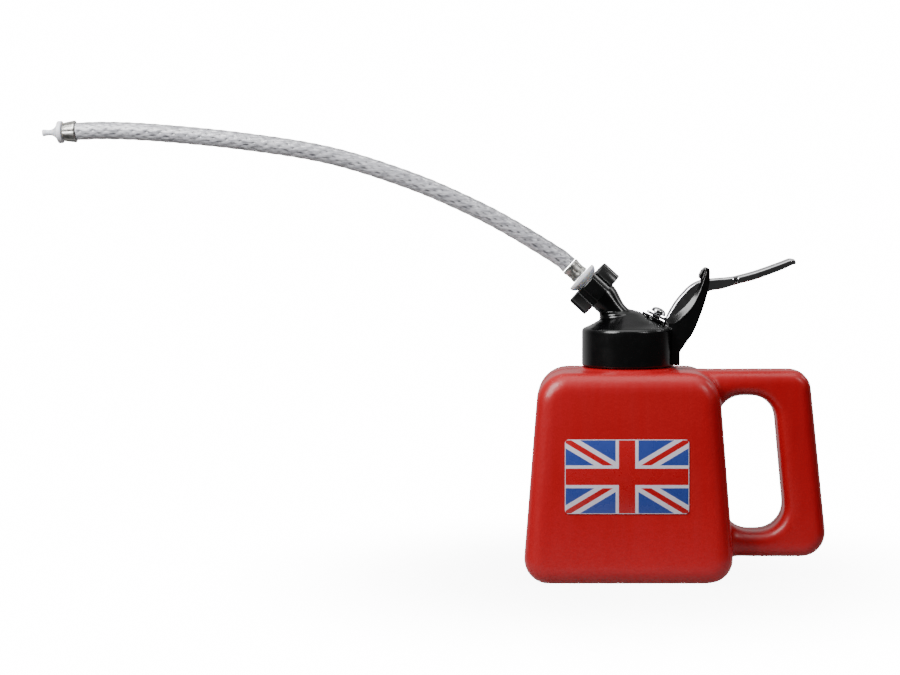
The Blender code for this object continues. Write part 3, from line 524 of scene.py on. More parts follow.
def label_vinyl(centre):
    """A printed sticker of crossed red and white stripes on blue, with nothing over them."""
    look = Look("label_vinyl", Coat_Weight=0.4, Coat_Roughness=0.15)
    parts = look.node("ShaderNodeSeparateXYZ", Vector=look.place)
    across = look.math("SUBTRACT", parts.outputs["X"], centre.x)
    up = look.math("SUBTRACT", parts.outputs["Z"], centre.z)
    width, height = (half * MM for half in LABEL_HALF)
    span = math.hypot(width, height)

    def nearer(distance, half, soft=0.00006):
        """1 inside a stripe of this half width in mm, 0 outside it."""
        return look.range(distance, 1.0, 0.0, (half * MM) - soft, (half * MM) + soft)

    def from_diagonal(lean):
        """The distance from one of the two diagonals, which lean 1 or -1."""
        flat = look.math("MULTIPLY", across, height / span)
        steep = look.math("MULTIPLY", up, lean * width / span)
        return look.math("ABSOLUTE", look.math("ADD", flat, steep))

    def past_edge(distance, half, rim=0.0003):
        return look.math("SUBTRACT", look.math("ABSOLUTE", distance), half - rim)

    diagonals = look.math("MINIMUM", from_diagonal(1), from_diagonal(-1))
    cross = look.math("MINIMUM", look.math("ABSOLUTE", across), look.math("ABSOLUTE", up))
    ink = look.range(look.noise(420.0, 4.0, 0.6), 0.0, 1.0)
    blue = look.mix(ink, (0.028, 0.052, 0.27), (0.031, 0.057, 0.285))
    red = look.mix(ink, (0.42, 0.0060, 0.0100), (0.44, 0.0066, 0.0108))
    white = look.mix(ink, (0.64, 0.59, 0.68), (0.67, 0.62, 0.71))
    colour = blue
    stripes = ((diagonals, 3.1, white), (diagonals, 1.15, red), (cross, 5.0, white), (cross, 3.6, red))
    for distance, half, tint in stripes:
        colour = look.mix(nearer(distance, half), colour, tint)
    rim = look.math("MAXIMUM", past_edge(across, width), past_edge(up, height))
    colour = look.mix(look.range(rim, 0.0, 1.0, -0.00005, 0.00005), colour, white)
    roughness = look.range(look.noise(200.0, 3.0), 0.22, 0.34)
    skin = look.bump(look.noise(90.0, 2.0), 0.15, 0.0003)
    return look.finish(colour, roughness, skin)


def floor_look():
    """A white sheet that fades away from the object, into the background."""
    look = Look("floor", Roughness=0.9, Specular_IOR_Level=0.1)
    distance = look.node("ShaderNodeVectorMath", Vector=look.place)
    distance.operation = "LENGTH"
    cover = look.range(distance.outputs["Value"], 0.45, 0.0, 0.03, 0.22)
    look.tree.nodes[-1].interpolation_type = "SMOOTHERSTEP"
    look.tree.links.new(cover, look.shader.inputs["Alpha"])
    tone = look.noise(30.0, 3.0)
    return look.finish(look.mix(tone, (0.86, 0.86, 0.86), (0.9, 0.9, 0.9)))


# -------------------------------- camera, light and floor
BACKGROUND = 16.0  # strength that the view transform shows as plain white


def make_camera():
    distance, height, aim = 0.900, 0.1635, 0.1075
    data = bpy.data.cameras.new("camera")
    data.lens, data.sensor_width = 80.0, 36.0
    data.shift_x = -0.1358
    camera = bpy.data.objects.new("camera", data)
    camera.location = (-0.025, -distance, height)
    camera.rotation_euler = (math.pi / 2 - math.atan((height - aim) / distance), 0, 0)
    bpy.context.scene.collection.objects.link(camera)
    bpy.context.scene.camera = camera


def softbox(name, azimuth, elevation, distance, size, power, aim=(0.0, 0.0, 0.08)):
    """A rectangular light round the object: azimuth 0 is the camera's side, and positive is to the right."""
    data = bpy.data.lights.new(name, "AREA")
    data.shape = "RECTANGLE"
    data.size, data.size_y = size
    data.energy = power
    light = bpy.data.objects.new(name, data)
    a, e = math.radians(azimuth), math.radians(elevation)
    away = Vector((math.sin(a) * math.cos(e), -math.cos(a) * math.cos(e), math.sin(e)))
    light.location = Vector(aim) + away * distance
    light.rotation_euler = away.to_track_quat("Z", "Y").to_euler()
    bpy.context.scene.collection.objects.link(light)


def make_world():
    """White behind and above, dark on the camera's side, and plain white where the camera sees it."""
    world = bpy.data.worlds.new("studio")
    world.use_nodes = True
    tree = world.node_tree
    background = tree.nodes["Background"]
    place = tree.nodes.new("ShaderNodeTexCoord").outputs["Generated"]
    parts = tree.nodes.new("ShaderNodeSeparateXYZ")
    tree.links.new(place, parts.inputs[0])
    total = tree.nodes.new("ShaderNodeMath")
    total.operation = "MAXIMUM"
    for socket, axis, limits in zip(total.inputs, "YZ", ((0.2, 0.8, 0.05, 0.62), (0.5, 0.95, 0.0, 0.6))):
        ramp = tree.nodes.new("ShaderNodeMapRange")
        tree.links.new(parts.outputs[axis], ramp.inputs["Value"])
        tree.links.new(set_range(ramp, *limits), socket)
    seen = tree.nodes.new("ShaderNodeLightPath").outputs["Is Camera Ray"]
    pick = tree.nodes.new("ShaderNodeMix")
    tree.links.new(seen, pick.inputs[0])
    tree.links.new(total.outputs[0], pick.inputs[2])
    pick.inputs[3].default_value = BACKGROUND
    tree.links.new(pick.outputs[0], background.inputs["Strength"])
    background.inputs["Color"].default_value = (1, 1, 1, 1)
    bpy.context.scene.world = world


def make_floor():
    bm = bmesh.new()
    bmesh.ops.create_grid(bm, x_segments=24, y_segments=24, size=4000.0)
    floor = as_object("floor", bm, Matrix.Translation((0, 0, -0.0002)))
    floor.data.materials.append(floor_look())


def make_stage():
    make_camera()
    make_world()
    softbox("left_softbox", -47, 37, 0.62, (0.28, 0.42), 5.5)
    softbox("right_softbox", 45, 35, 1.2, (0.16, 0.28), 2.4)
    softbox("rim_softbox", 106, 38, 1.2, (0.3, 0.3), 1.3)
    softbox("top_softbox", 0, 82, 1.1, (1.1, 0.8), 5.0)
    make_floor()


# -------------------------------- the hose
STRANDS = 8  # yarns wound each way
BRAID_LENGTH = 6.0  # mm along the hose from one crossing to the next on the same line
YARN_HALF = 0.40  # of a cell
RELIEF = 0.26  # mm
OPEN_SIDE = math.radians(-75)  # where the yarns stand furthest apart round the hose
PAINTED_LIGHT_UNDERSIDE = math.radians(-16)  # the underside, painted lighter for light that shines through the clear hose: painted light
PAINTED_DARK_TOP = math.radians(-150)  # the upper side, painted darker against the light that falls on it from above: painted shade


def braid(angle, along):
    """The relief of two crossing families of flat yarns, as (height 0 to 1, tone 0 to 1); the tone holds
    painted shade and painted light as well as the weave.
    """
    turn, rise = STRANDS * angle / math.tau, along / BRAID_LENGTH
    best_height, best_tone = 0.0, 0.0
    for one, two, sign in ((turn + rise, turn - rise, 1), (turn - rise, turn + rise, -1)):
        lane = round(one)
        off = abs(one - lane) / YARN_HALF
        if off >= 1:
            continue
        over = 0.5 + 0.5 * sign * math.cos(math.pi * two) * (-1) ** lane
        crown = math.sqrt(1 - off * off)
        height = crown * (0.45 + 0.55 * over)
        fibres = 0.5 + 0.5 * math.cos(off * 9.0)
        # painted shade: a yarn is darker towards its edges and where it runs under the other; the fibre
        # stripes are its own
        tone = (0.45 + 0.35 * crown + 0.2 * over) * (0.86 + 0.14 * fibres)
        if height > best_height:
            best_height, best_tone = height, tone
    first, second = turn + rise - 0.5, turn - rise - 0.5
    first, second = first - round(first), second - round(second)
    away = angle_between(angle, OPEN_SIDE)
    spread = math.exp(-((away / math.radians(15)) ** 2))
    long, wide = 0.50 + 0.14 * spread, 0.22 + 0.16 * spread
    gap = 1 - smoothstep(0.6, 1.2, math.hypot((first - second) / long, (first + second) / wide))
    gap *= 0.12 + 0.88 * spread
    # painted light: the underside is lifted towards white, for light shining through the clear hose
    wall = 0.95 * math.exp(-((angle_between(angle, PAINTED_LIGHT_UNDERSIDE) / math.radians(34)) ** 2))
    # painted shade: the tone is darkened round the upper side, where most light falls
    best_tone *= 1 - 0.55 * math.exp(-((angle_between(angle, PAINTED_DARK_TOP) / math.radians(55)) ** 2))
    # painted highlight: bright dashes on the upper side, at the braid's cells
    glint = 1 - smoothstep(0.5, 1.1, math.hypot((first - second) / 0.5, (first + second) / 0.2))
    glint *= math.exp(-(((math.degrees(away) - 62) / 14) ** 2))
    return best_height, max(0.6 * best_tone * (1 - gap), glint, wall)


def make_hose(look):
    """A tube with its braid in relief, from the base ferrule to the tip ferrule."""
    centre = smooth_line(HOSE_ROUTE, spacing=8.0)
    line = smooth_line(centre, steps=30)
    sides = 108
    path = [Vector((p[0], 0, p[1])) for p in line]
    bm = bmesh.new()
    layer = bm.verts.layers.float.new("weave_and_painted_light")
    rings, along = [], 0.0
    for i, point in enumerate(path):
        if i:
            along += (point - path[i - 1]).length
        across = across_path(path, i)
        ring = []
        for k in range(sides):
            angle = math.tau * k / sides
            height, tone = braid(angle, along)
            radius = HOSE_RADIUS - RELIEF * (1 - height)
            out = across * math.cos(angle) + Vector((0, math.sin(angle), 0))
            vert = bm.verts.new(point + out * radius)
            vert[layer] = tone
            ring.append(vert)
        rings.append(ring)
    skin(bm, rings)
    hose = as_object("hose_spout", bm)
    show(hose, "spout", look, "clear_pvc", "spout_hose", sharp=70)
    return hose, path, along


def make_ferrules_and_nozzle(steel, white):
    """The crimped ends of the hose, and its nozzle."""

    def pressed(angle, radius, height):
        """Eight crimp dents round the base ferrule's waist."""
        waist = math.exp(-(((height - 11.4) / 1.7) ** 2))
        dent = max(0.0, math.cos(8 * angle)) ** 3
        return radius - 0.55 * waist * dent * (radius > 3.5)

    def folded(angle, radius, height):
        """Six soft folds in the flared tip ferrule."""
        fold = 0.28 * (0.5 - 0.5 * math.cos(6 * angle)) + 0.12 * max(0.0, math.cos(12 * angle))
        return radius - smoothstep(2.4, 5.0, radius) * fold

    rolled = [(0, 15.1), (4.05, 15.1), (4.35, 14.85), (4.38, 14.3), (4.2, 13.7), (4.1, 13.1)]
    waist = [(4.08, 12.5), (4.05, 12.0), (4.04, 11.4), (4.05, 10.8), (4.1, 10.3), (4.2, 9.8), (4.24, 9.2)]
    foot = [(4.15, 8.7), (3.9, 8.5), (0, 8.5)]
    base = lathe("base_crimp_ferrule", [*rolled, *waist, *foot], SPOUT, 128, shape=pressed)
    show(base, "spout", steel, "steel", "base_ferrule")

    flare = [(0, 6.1), (3.9, 6.1), (4.1, 5.9), (4.2, 5.5), (4.35, 4.8), (4.5, 4.0), (4.65, 3.1), (4.8, 2.2)]
    rim = [(4.95, 1.3), (5.0, 0.9), (4.95, 0.5), (4.75, 0.32), (0, 0.3)]
    tip = lathe("tip_crimp_ferrule", [*flare, *rim], TIP, 120, shape=folded)
    show(tip, "spout", steel, "steel", "tip_ferrule")

    stem = [(1.45, 14.2), (1.3, 13.4), (1.25, 12.4)]
    bell = [(1.4, 11.3), (1.95, 10.2), (2.9, 9.25), (4.1, 8.6)]
    flange = rounded([(4.5, 8.45), (5.0, 8.2), (5.0, 6.4), (4.6, 6.4)], 0.45, 4, closed=False)
    bead = [(1.0, 15.35), (1.3, 15.38), (1.5, 15.2), (1.55, 14.8)]
    inside = [(0.7, 6.4), (0.7, 15.1)]
    profile = [*bead, *smooth_line(stem + bell, steps=4), *flange, *inside]
    nozzle = lathe("spout_nozzle", profile, TIP, 72, loop=True)
    show(nozzle, "spout", white, "white_nylon", "nozzle_tip")
    return [base, tip, nozzle]


# -------------------------------- the can
def can_side(height):
    low, high = CAN_HALF_WIDTH
    return low + (high - low) * height / CAN_HEIGHT


def can_outline(inset, steps):
    low, high = inset, CAN_HEIGHT - inset
    wide, narrow = can_side(low) - inset, can_side(high) - inset
    corners = [(-wide, low), (wide, low), (narrow, high), (-narrow, high)]
    bottom, top = (radius - inset for radius in CAN_CORNERS)
    return rounded(corners, [bottom, bottom, top, top], steps)


def handle_outline(inset, steps):
    """The grip and its two bars as one C, whose open side lies inside the can."""
    hidden = 15.0
    root_height = 24.0
    top, bottom = HANDLE_TOP - inset, HANDLE_BOTTOM + inset
    gap_top, gap_bottom = GAP_TOP + inset, GAP_BOTTOM - inset
    upper_root, lower_root = gap_top - root_height, gap_bottom + root_height

    def sunk(height):
        """Just inside the can's wall."""
        return can_side(height) - 1.2 - inset

    corners = [
        (hidden, bottom),
        (HANDLE_OUTER[1] - inset, bottom),
        (HANDLE_OUTER[0] - inset, top),
        (hidden, top),
        (hidden, upper_root),
        (sunk(upper_root), upper_root),
        (sunk(gap_top), gap_top),
        (GAP_INNER[0] + inset, gap_top),
        (GAP_INNER[1] + inset, gap_bottom),
        (sunk(gap_bottom), gap_bottom),
        (sunk(lower_root), lower_root),
        (hidden, lower_root),
    ]
    radii = [0, 11 - inset, 9 - inset, 0, 0, 0, *[GAP_CORNER + inset] * 4, 0, 0]
    return rounded(corners, radii, steps)


def leaned(obj):
    """Leans the front and back faces inwards, as the can is less deep at its top."""
    low, high = CAN_HALF_DEPTH
    for vertex in obj.data.vertices:
        vertex.co.y *= 1 - (1 - high / low) * vertex.co.z / (CAN_HEIGHT * MM)
    return obj


def parting_bead(obj, height=0.17, half=0.4):
    """Raises the mould's parting line, all round the plane Y = 0."""
    bm = bmesh.new()
    bm.from_mesh(obj.data)
    for y in (-half, 0.0, half):
        geometry = [*bm.verts, *bm.edges, *bm.faces]
        bmesh.ops.bisect_plane(bm, geom=geometry, dist=1e-7, plane_co=(0, y * MM, 0), plane_no=(0, 1, 0))
    bm.normal_update()
    for vert in bm.verts:
        if abs(vert.co.y) < 1e-7 and vert.co.z > 0.5 * MM:
            vert.co += vert.normal * height * MM
    bm.to_mesh(obj.data)
    bm.free()


def make_can(red):
    depth, grip = CAN_HALF_DEPTH[0], HANDLE_HALF_DEPTH
    body = leaned(prism("can_body", can_outline(0, 14), -depth, depth, bevel=CAN_EDGE_ROUND, segments=8))
    handle = prism("handle", handle_outline(0, 10), -grip, grip, bevel=HANDLE_EDGE_ROUND, segments=7)
    seat = lathe("seat", [(0, 94.5), (21.0, 94.5), (22.0, 93.7), (22.0, 90.0), (0, 90.0)])

    def near_joints(point):
        """Full at the roots of the handle's bars and round the neck's seat, none elsewhere."""
        bars = smoothstep(33.0, 37.0, point.x) * (1 - smoothstep(50.0, 58.0, point.x))
        round_neck = smoothstep(90.5, 93.0, point.z) * (1 - smoothstep(24.0, 28.0, point.xy.length))
        return max(bars, 0.6 * round_neck)

    can = moulded(merged("can_moulding", [body, handle, seat]), 0.8, 7, 34, near_joints)
    parting_bead(can)
    neck_corners = [(0, NECK_TOP), (NECK_RADIUS, NECK_TOP), (NECK_RADIUS, 90.0), (0, 90.0)]
    neck = lathe("neck", rounded(neck_corners, [0, 0.6, 0, 0], 4))
    ridge = thread("neck_thread", NECK_RADIUS - 0.4, NECK_CREST, NECK_PITCH, 2.0, NECK_THREAD_LOW, NECK_RIDGE)
    boolean(can, [neck, ridge], "UNION")
    inside = depth - WALL
    hollow = prism("hollow", can_outline(WALL, 8), -inside, inside, bevel=CAN_EDGE_ROUND - WALL, segments=4)
    bore = lathe("bore", [(0, 110.0), (NECK_BORE, 110.0), (NECK_BORE, 89.0), (0, 89.0)], steps=72)
    boolean(can, [leaned(hollow), bore], "DIFFERENCE")
    show(can, "can", red, "red_polyethylene", "container", sharp=50)


def make_label(look, centre):
    low, high = CAN_HALF_DEPTH
    lean = math.atan((low - high) / CAN_HEIGHT)
    width, height = LABEL_HALF
    corners = [(-width, -height), (width, -height), (width, height), (-width, height)]
    place = Matrix.Translation(centre) @ Matrix.Rotation(-lean, 4, "X") @ SIDE
    label = prism("front_sticker", rounded(corners, 1.6, 8), -0.125, 0.125, place, bevel=0.08, segments=2)
    show(label, "can", look, "label_vinyl", "label")


# -------------------------------- the pump head
def cheek(name, inner, outer, side):
    """One side of the lever's bracket, whose front edge slopes: its slot face is the wider one."""
    layers = ((SLOT_HALF, inner), (SLOT_HALF + 0.05, inner), (FIN_HALF, outer))
    bm = bmesh.new()
    skin(bm, [[bm.verts.new((x, side * y, z)) for x, z in outline] for y, outline in layers])
    return as_object(name, bm)


def make_head(black):
    shoulder = 2.0
    edge = SKIRT_RADIUS - shoulder
    corner = arc((edge, DOME_SHOULDER - shoulder), shoulder, 61, 5, 7)
    crown = [(1.6, 120.3), (5.6, 119.1), (9.5, 117.2), (13.4, 115.2), (16.6, 113.4), corner[0]]
    foot = [(SKIRT_RADIUS, SKIRT_BOTTOM + 0.4), (SKIRT_RADIUS - 0.4, SKIRT_BOTTOM), (0, SKIRT_BOTTOM)]
    dome = lathe("dome", [(0, 120.3), *smooth_line(crown, steps=4), *corner[1:], *foot], steps=160)
    pedestal = lathe(
        "pedestal",
        [(0, 118.9), (7.7, 118.9), (8.3, 118.3), (8.3, 109.0), (0, 109.0)],
        Matrix.Translation((-4.4 * MM, 0, 0)),
    )

    def bent(angle, radius, height):
        """Draws the boss's upper side in towards the dome."""
        upper = max(0.0, math.cos(angle)) ** 1.5
        return radius - 3.1 * smoothstep(5.0, 16.5, -height) * upper * (radius > 6)

    side_of_boss = [(6.7, -0.8 - 1.4 * i) for i in range(14)]
    boss = lathe("boss", [(0, -0.4), (6.3, -0.4), *side_of_boss, (0, -19.0)], SPOUT, shape=bent)
    front = [(18.0, 114.0), (20.9, 114.3), (25.0, 117.6), (29.0, 122.3)]
    front += [(31.6, 127.4), (33.2, 131.5), (34.9, 137.0)]
    lip = [(15.0, 116.4), (19.0, 117.4), (23.2, 120.0), (27.0, 123.7)]
    lip += [(29.9, 127.9), (31.9, 132.0), (34.3, 137.4)]
    tip = [(35.1, 138.6), (35.9, 139.0), (36.6, 137.9)]
    back = [(36.6, 133.2), (35.4, 126.9), (33.2, 119.7), (29.6, 110.7), (26.0, 105.3), (23.3, 101.3)]
    root = [(23.3, 95.3), (19.4, 95.3), (19.4, 108.0), (18.0, 109.0)]
    front_line, lip_line = smooth_line(front, steps=6), smooth_line(lip, steps=6)
    tip_line = smooth_line([front[-1], *tip, back[0]], steps=4)[1:-1]
    rest_of_cheek = tip_line + smooth_line(back, steps=6) + root
    shells = [dome, pedestal, boss]
    for side in (-1, 1):
        shells.append(cheek(f"cheek_{side}", lip_line + rest_of_cheek, front_line + rest_of_cheek, side))
        rim = [Vector((x + 0.3, side * (FIN_HALF - 0.25), z - 0.3)) for x, z in front_line[5:]]
        shells.append(tube_along(f"rim_{side}", rim, 0.45))
    across_slot = SLOT_HALF + 0.6
    bridge = [(32.0, 133.9), (36.6, 134.7), (36.6, 137.9), (35.9, 139.2)]
    bridge += [(34.6, 139.2), (33.2, 138.0), (32.1, 136.0)]
    shells.append(prism("bridge", rounded(bridge, 0.6, 4), -across_slot, across_slot))
    web = [(19.4, 95.3), (23.3, 95.3), (23.3, 101.3), (25.6, 104.7), (25.6, 105.6), (19.4, 105.6)]
    shells.append(prism("root", web, -across_slot, across_slot))

    def near_elbow(point):
        """Full where the boss leaves its pedestal and the dome, none at the skirt and the bracket."""
        level = smoothstep(110.5, 113.5, point.z) * (1 - smoothstep(123.0, 126.0, point.z))
        return 0.9 * level * (1 - smoothstep(9.0, 13.0, point.x))

    head = moulded(merged("pump_head_moulding", shells), 0.3, 4, 26, near_elbow)
    inside = [(0, CEILING), (SKIRT_BORE, CEILING), (SKIRT_BORE, 94.0), (0, 94.0)]
    boolean(head, [lathe("inside", inside)], "DIFFERENCE")
    skirt_low = NECK_THREAD_LOW + NECK_PITCH / 2
    threads = [
        thread("skirt_thread", SKIRT_BORE + 0.4, SKIRT_CREST, NECK_PITCH, 2.0, skirt_low, NECK_RIDGE),
        thread("boss_thread", 6.4, 7.5, SPOUT_PITCH, 1.6, BOSS_THREAD_LOW, SPOUT_RIDGE, SPOUT),
    ]
    boolean(head, threads, "UNION")
    pump_bore = [(0, 1.0), (7.0, 1.0), (7.0, -1.3), (4.5, -1.3)]
    pump_bore += [(4.5, -6.0), (6.1, -6.0), (6.1, -16.0), (0, -16.0)]
    spout_bore = [(0, 3.0), (2.9, 3.0), (2.9, -13.0), (1.5, -13.0), (1.5, -29.0), (0, -29.0)]
    vent = Matrix.Translation((-1.0 * MM, 13.0 * MM, 0))
    blind_end = 0.6 - FIN_HALF
    pin_hole = [(0, FIN_HALF + 1), (PIN_HOLE, FIN_HALF + 1), (PIN_HOLE, blind_end), (0, blind_end)]
    cutters = [
        lathe("pump_bore", pump_bore, PUMP, 72),
        lathe("spout_bore", spout_bore, SPOUT, 48),
        lathe("air_vent", [(0, 125.0), (0.6, 125.0), (0.6, CEILING - 2), (0, CEILING - 2)], vent, 24),
        lathe("pin_hole", pin_hole, PIN, 32),
    ]
    boolean(head, cutters, "DIFFERENCE")
    show(head, "head", black, "black_nylon", "pump_head", sharp=45)


def make_gland(black):
    teeth = 12

    def toothed(angle, radius, height):
        gap = smoothstep(0.55, 0.8, 0.5 + 0.5 * math.cos(teeth * angle))
        return radius - 0.85 * gap * (radius > 5.5)

    rim = rounded([(5.4, 0.2), (6.5, 0.2), (6.5, -1.0), (4.2, -1.0)], [0, 0.35, 0.15, 0], 4, closed=False)
    profile = [*rim, (4.2, -3.2), (2.0, -3.2), (2.0, -0.1), (2.3, 0.2)]
    show(lathe("gland_ring", profile, PUMP, 144, True, toothed), "head", black, "black_nylon", "gland_nut")


def make_plunger(chrome):
    """The rod with its domed button and the small step round it."""
    dome = dome_line(3.3, 1.7, 3.3, range(0, 91, 9))
    step = [(3.4, 3.1), (3.4, 2.6), (3.2, 2.3), (1.95, 2.3)]
    rod = [(1.8, 2.1), (1.8, -27.4), (1.3, -27.4), (1.3, -33.0), (0, -33.0)]
    button = lathe("plunger_button", [*dome, *step, *rod], PUMP, 72)
    show(button, "plunger", chrome, "chrome_plate", "plunger_rod")


def coil(name, radius, wire, low, high, turns, matrix):
    """A compression spring about local Z, its end turns closed up."""
    per_turn, sides = 36, 12
    closed = wire * 1.12
    active = (high - low - wire - 2 * closed) / (turns - 2)
    bm = bmesh.new()
    rings = []
    for i in range(turns * per_turn + 1):
        turn = i / per_turn
        closed_turns = min(turn, 1) + max(turn - turns + 1, 0)
        rise = low + wire / 2 + closed * closed_turns + active * min(max(turn - 1, 0), turns - 2)
        angle = math.tau * turn
        out = Vector((math.cos(angle), math.sin(angle), 0))
        ring = []
        for k in range(sides):
            around = math.tau * k / sides
            place = out * (radius + wire / 2 * math.cos(around))
            ring.append(bm.verts.new(place + Vector((0, 0, rise + wire / 2 * math.sin(around)))))
        rings.append(ring)
    skin(bm, rings)
    return as_object(name, bm, matrix)


def make_springs(steel):
    """Both springs, each on a mesh of its own."""
    back = coil("return_coil", 3.35, 0.8, -25.1, -5.7, 7, PUMP)
    show(back, "head", steel, "steel", "return_spring")
    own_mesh(back)
    valve = coil("valve_coil", 1.75, 0.5, -8.8, -3.1, 4, SPOUT)
    show(valve, "head", steel, "steel", "delivery_spring")
    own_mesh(valve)


# -------------------------------- the lever
def lever_stations():
    """Points on the web's outside, each with one on the flanges' free edge, from toe to thumb."""
    pivot = (PIVOT.x / MM, PIVOT.z / MM)
    ear = arc(pivot, 3.1, -116, 10, 3)
    pairs = [
        ((17.3, 116.9), (17.1, 114.7)),
        ((18.3, 119.0), (20.8, 112.9)),
        ((19.9, 121.7), ear[0]),
        ((21.4, 124.0), ear[1]),
        ((22.8, 125.8), ear[2]),
        ((24.2, 127.4), ear[3]),
        ((27.7, 130.9), (30.3, 117.6)),
        ((31.9, 133.2), (32.9, 124.6)),
        ((37.1, 134.1), (36.2, 128.4)),
        ((43.4, 134.6), (41.9, 129.5)),
        ((47.0, 135.0), (46.9, 131.0)),
        ((49.7, 135.5), (49.9, 132.0)),
        ((56.1, 137.2), (56.5, 133.7)),
        ((62.4, 139.3), (63.0, 136.0)),
        ((68.7, 141.6), (69.5, 138.5)),
        ((72.3, 143.0), (72.6, 140.0)),
        ((73.9, 143.1), (74.0, 140.5)),
        ((74.9, 142.4), (74.9, 140.7)),
        ((75.2, 141.5), (75.2, 140.9)),
    ]
    upper = smooth_line([pair[0] for pair in pairs], steps=8)
    lower = smooth_line([pair[1] for pair in pairs], steps=8)
    return list(zip(upper, lower))


def channel_section(half, depth):
    """A channel's section as (across, down) points: its outside and its inside, both from left to right."""
    bend = min(1.5, depth * 0.55)
    sheet = min(SHEET, depth * 0.75)
    inner_bend = min(0.6, depth * 0.2)
    steps = 7
    angles = [math.radians(90 * i / steps) for i in range(steps + 1)]
    outer = [(half - 0.25 * sheet, depth), (half, depth - 0.25 * sheet)]
    outer += [(half - bend + bend * math.cos(a), bend - bend * math.sin(a)) for a in angles]
    inner = [(half - 0.75 * sheet, depth), (half - sheet, depth - 0.25 * sheet)]
    inner += [
        (half - sheet - inner_bend + inner_bend * math.cos(a), sheet + inner_bend - inner_bend * math.sin(a))
        for a in angles
    ]
    middle = [0.55, 0.2]
    outer += [(half * share, 0.0) for share in middle]
    inner += [(half * share, sheet) for share in middle]
    both = []
    for side in (outer, inner):
        left = [(-across, down) for across, down in side]
        both.append(left + side[::-1])
    return both


def make_lever(chrome):
    """A steel pressing: a channel, wider under the thumb, with ears round its pivot and a forked toe."""
    bm = bmesh.new()
    rings = []
    for upper, lower in lever_stations():
        down = lower - upper
        depth = down.length
        down.normalize()
        half = LEVER_HALF + (THUMB_HALF - LEVER_HALF) * smoothstep(46.9, 49.4, upper.x)
        half -= 1.9 * smoothstep(71.8, 75.4, upper.x) ** 2
        outer, inner = channel_section(half, depth)
        ring = []
        for side in (outer, inner):
            ring.append([bm.verts.new((upper.x + down.x * d, y, upper.y + down.y * d)) for y, d in side])
        rings.append(ring)
    last = len(rings[0][0]) - 1
    for one, two in zip(rings, rings[1:]):
        for i in range(last):
            bm.faces.new((one[0][i], one[0][i + 1], two[0][i + 1], two[0][i]))
            bm.faces.new((one[1][i], two[1][i], two[1][i + 1], one[1][i + 1]))
        bm.faces.new((one[0][0], two[0][0], two[1][0], one[1][0]))
        bm.faces.new((one[0][last], one[1][last], two[1][last], two[0][last]))
    for ring in (rings[0], rings[-1]):
        for i in range(last):
            bm.faces.new((ring[0][i], ring[1][i], ring[1][i + 1], ring[0][i + 1]))
    lever = as_object("thumb_lever", bm)
    root, end, half = 5.6, -4.8, 3.9
    notch_end, notch = 2.6, 2.1
    corners = [(root, -half), (root, half), (end, half), (end, notch)]
    corners += [(notch_end, notch), (notch_end, -notch), (end, -notch), (end, -half)]
    fork = rounded(corners, [0, 0, 1.5, 0.5, 2.05, 2.05, 0.5, 1.5], 6)
    toe = prism("toe", fork, 0.7, 1.7, PUMP, bevel=0.3, segments=3)
    eye = lathe("eye", [(0, 8.0), (PIN_HOLE, 8.0), (PIN_HOLE, -8.0), (0, -8.0)], PIN, 32)
    boolean(lever, [toe], "UNION")
    boolean(lever, [eye], "DIFFERENCE")
    show(lever, "lever", chrome, "chrome_plate", "lever", sharp=42)


def make_pin(steel):
    """The pivot pin, with a domed end where its hole is open."""
    end = dome_line(1.5, 0.4, 5.35, (0, 25, 50, 75, 90))
    pin = lathe("lever_pin", [*end, (1.5, -4.8), (1.3, -4.95), (0, -4.95)], PIN, 40)
    show(pin, "head", steel, "steel", "pivot_pin")


# -------------------------------- the spout's fittings
def make_coupling(black):
    lugs, flute_floor = 8, 11.0

    def fluted(angle, radius, height):
        """Flat-bottomed flutes between the lugs, on the nut's outside."""
        share = abs((angle * lugs / math.tau) % 1.0 - 0.5)
        from_flute = share * math.tau / lugs * flute_floor
        depth = 1 - smoothstep(1.25, 1.75, from_flute)
        return radius - depth * max(0.0, radius - flute_floor) * smoothstep(9.0, 10.4, radius)

    end = NUT_HALF
    corners = [(10.0, end), (NUT_CREST, end), (NUT_CREST, -end), (7.9, -end)]
    outside = rounded(corners, [0, 0.9, 0.5, 0], 5, closed=False)
    inside = [(7.9, 2.7), (5.9, 2.7), (5.9, end - 0.3), (6.2, end)]
    nut = lathe("lugged_nut", [*outside, *inside], SPOUT, 240, True, fluted)
    nut_low = BOSS_THREAD_LOW + SPOUT_PITCH / 2
    ridge = thread("nut_thread", 8.2, 7.1, SPOUT_PITCH, 1.6, nut_low, SPOUT_RIDGE, SPOUT)
    boolean(nut, [ridge], "UNION")
    show(nut, "nut", black, "black_nylon", "coupling_nut")


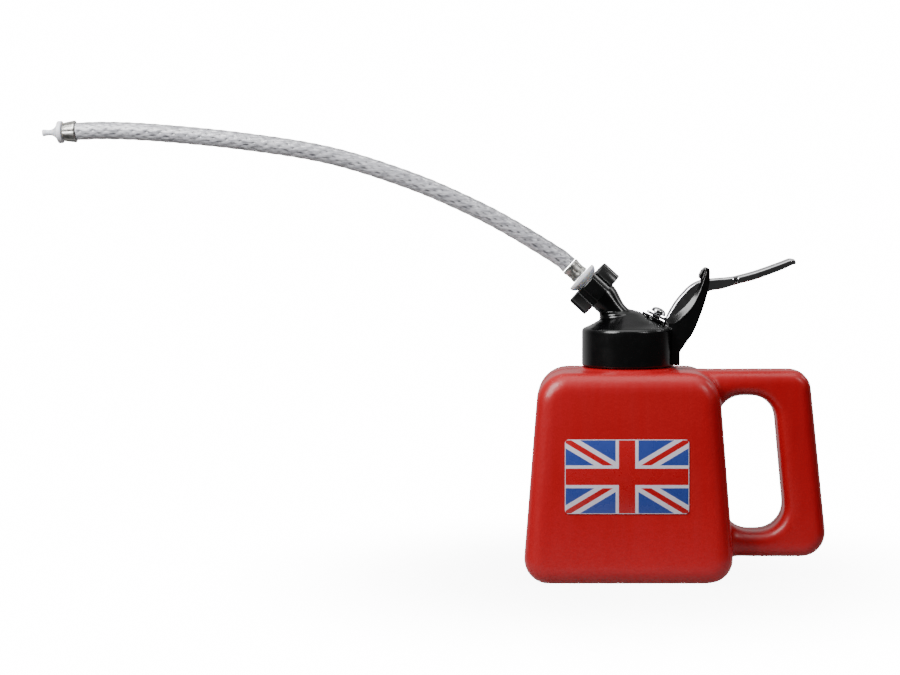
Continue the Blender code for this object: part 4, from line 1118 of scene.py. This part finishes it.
def make_adapter(white):
    def notched(angle, radius, height):
        """A small flat on the flange's upper edge."""
        away = angle_between(angle, 0.0)
        return radius - 0.7 * (1 - smoothstep(0.16, 0.24, away)) * (radius > 6.6 and height > 6)

    corners = [(4.2, 8.2), (7.5, 8.2), (7.5, 6.9), (6.5, 5.6), (5.6, 4.9)]
    flange = rounded(corners, [0, 0.5, 0.3, 0.5, 0], 4, closed=False)
    collar = [(5.6, 2.4), (6.8, 2.4), (6.9, 2.3), (6.9, 1.3), (6.8, 1.2)]
    spigot = [(2.6, 1.2), (2.6, -2.8), (1.3, -2.8), (1.3, 8.2)]
    adapter = lathe("hose_tail", [*flange, *collar, *spigot], SPOUT, 128, True, notched)
    show(adapter, "spout", white, "white_nylon", "spout_adapter")


# -------------------------------- the object
make_stage()
NYLON = black_nylon()
STEEL = zinc_steel()
WHITE = moulded_nylon("white_nylon", (0.84, 0.85, 0.95), (0.88, 0.89, 0.97), 0.5, 0.36)
NATURAL = moulded_nylon("natural_nylon", (0.60, 0.57, 0.48), (0.70, 0.67, 0.58), 0.2, 0.42)
RUBBER = black_rubber()
CHROME = chrome_plate()

hose, hose_path, hose_length = make_hose(braided_pvc())
fittings = make_ferrules_and_nozzle(STEEL, WHITE)

label_low, label_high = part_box("label")
LABEL_CENTRE = (label_low + label_high) / 2
make_can(red_plastic())
make_label(label_vinyl(LABEL_CENTRE), LABEL_CENTRE)
make_head(NYLON)
make_gland(NYLON)
make_plunger(CHROME)
make_springs(STEEL)
make_lever(CHROME)
make_pin(STEEL)
make_coupling(NYLON)
make_adapter(WHITE)

# inner nodes that keep the CAD's own meshes, and their looks
CARRIED_OVER = {
    "head_gasket": RUBBER,
    "gland_packing": RUBBER,
    "packing_washer": STEEL,
    "pump_barrel": NATURAL,
    "foot_valve_body": NATURAL,
    "foot_valve_cage": STEEL,
    "foot_valve_ball": STEEL,
    "suction_tube": NATURAL,
    "suction_strainer": NATURAL,
    "piston": NYLON,
    "piston_cup": RUBBER,
    "piston_nut": STEEL,
    "delivery_ball": STEEL,
    "spout_seal": RUBBER,
}
for node, look in CARRIED_OVER.items():
    for material_slot in frame["nodes"][node].material_slots:
        material_slot.material = look
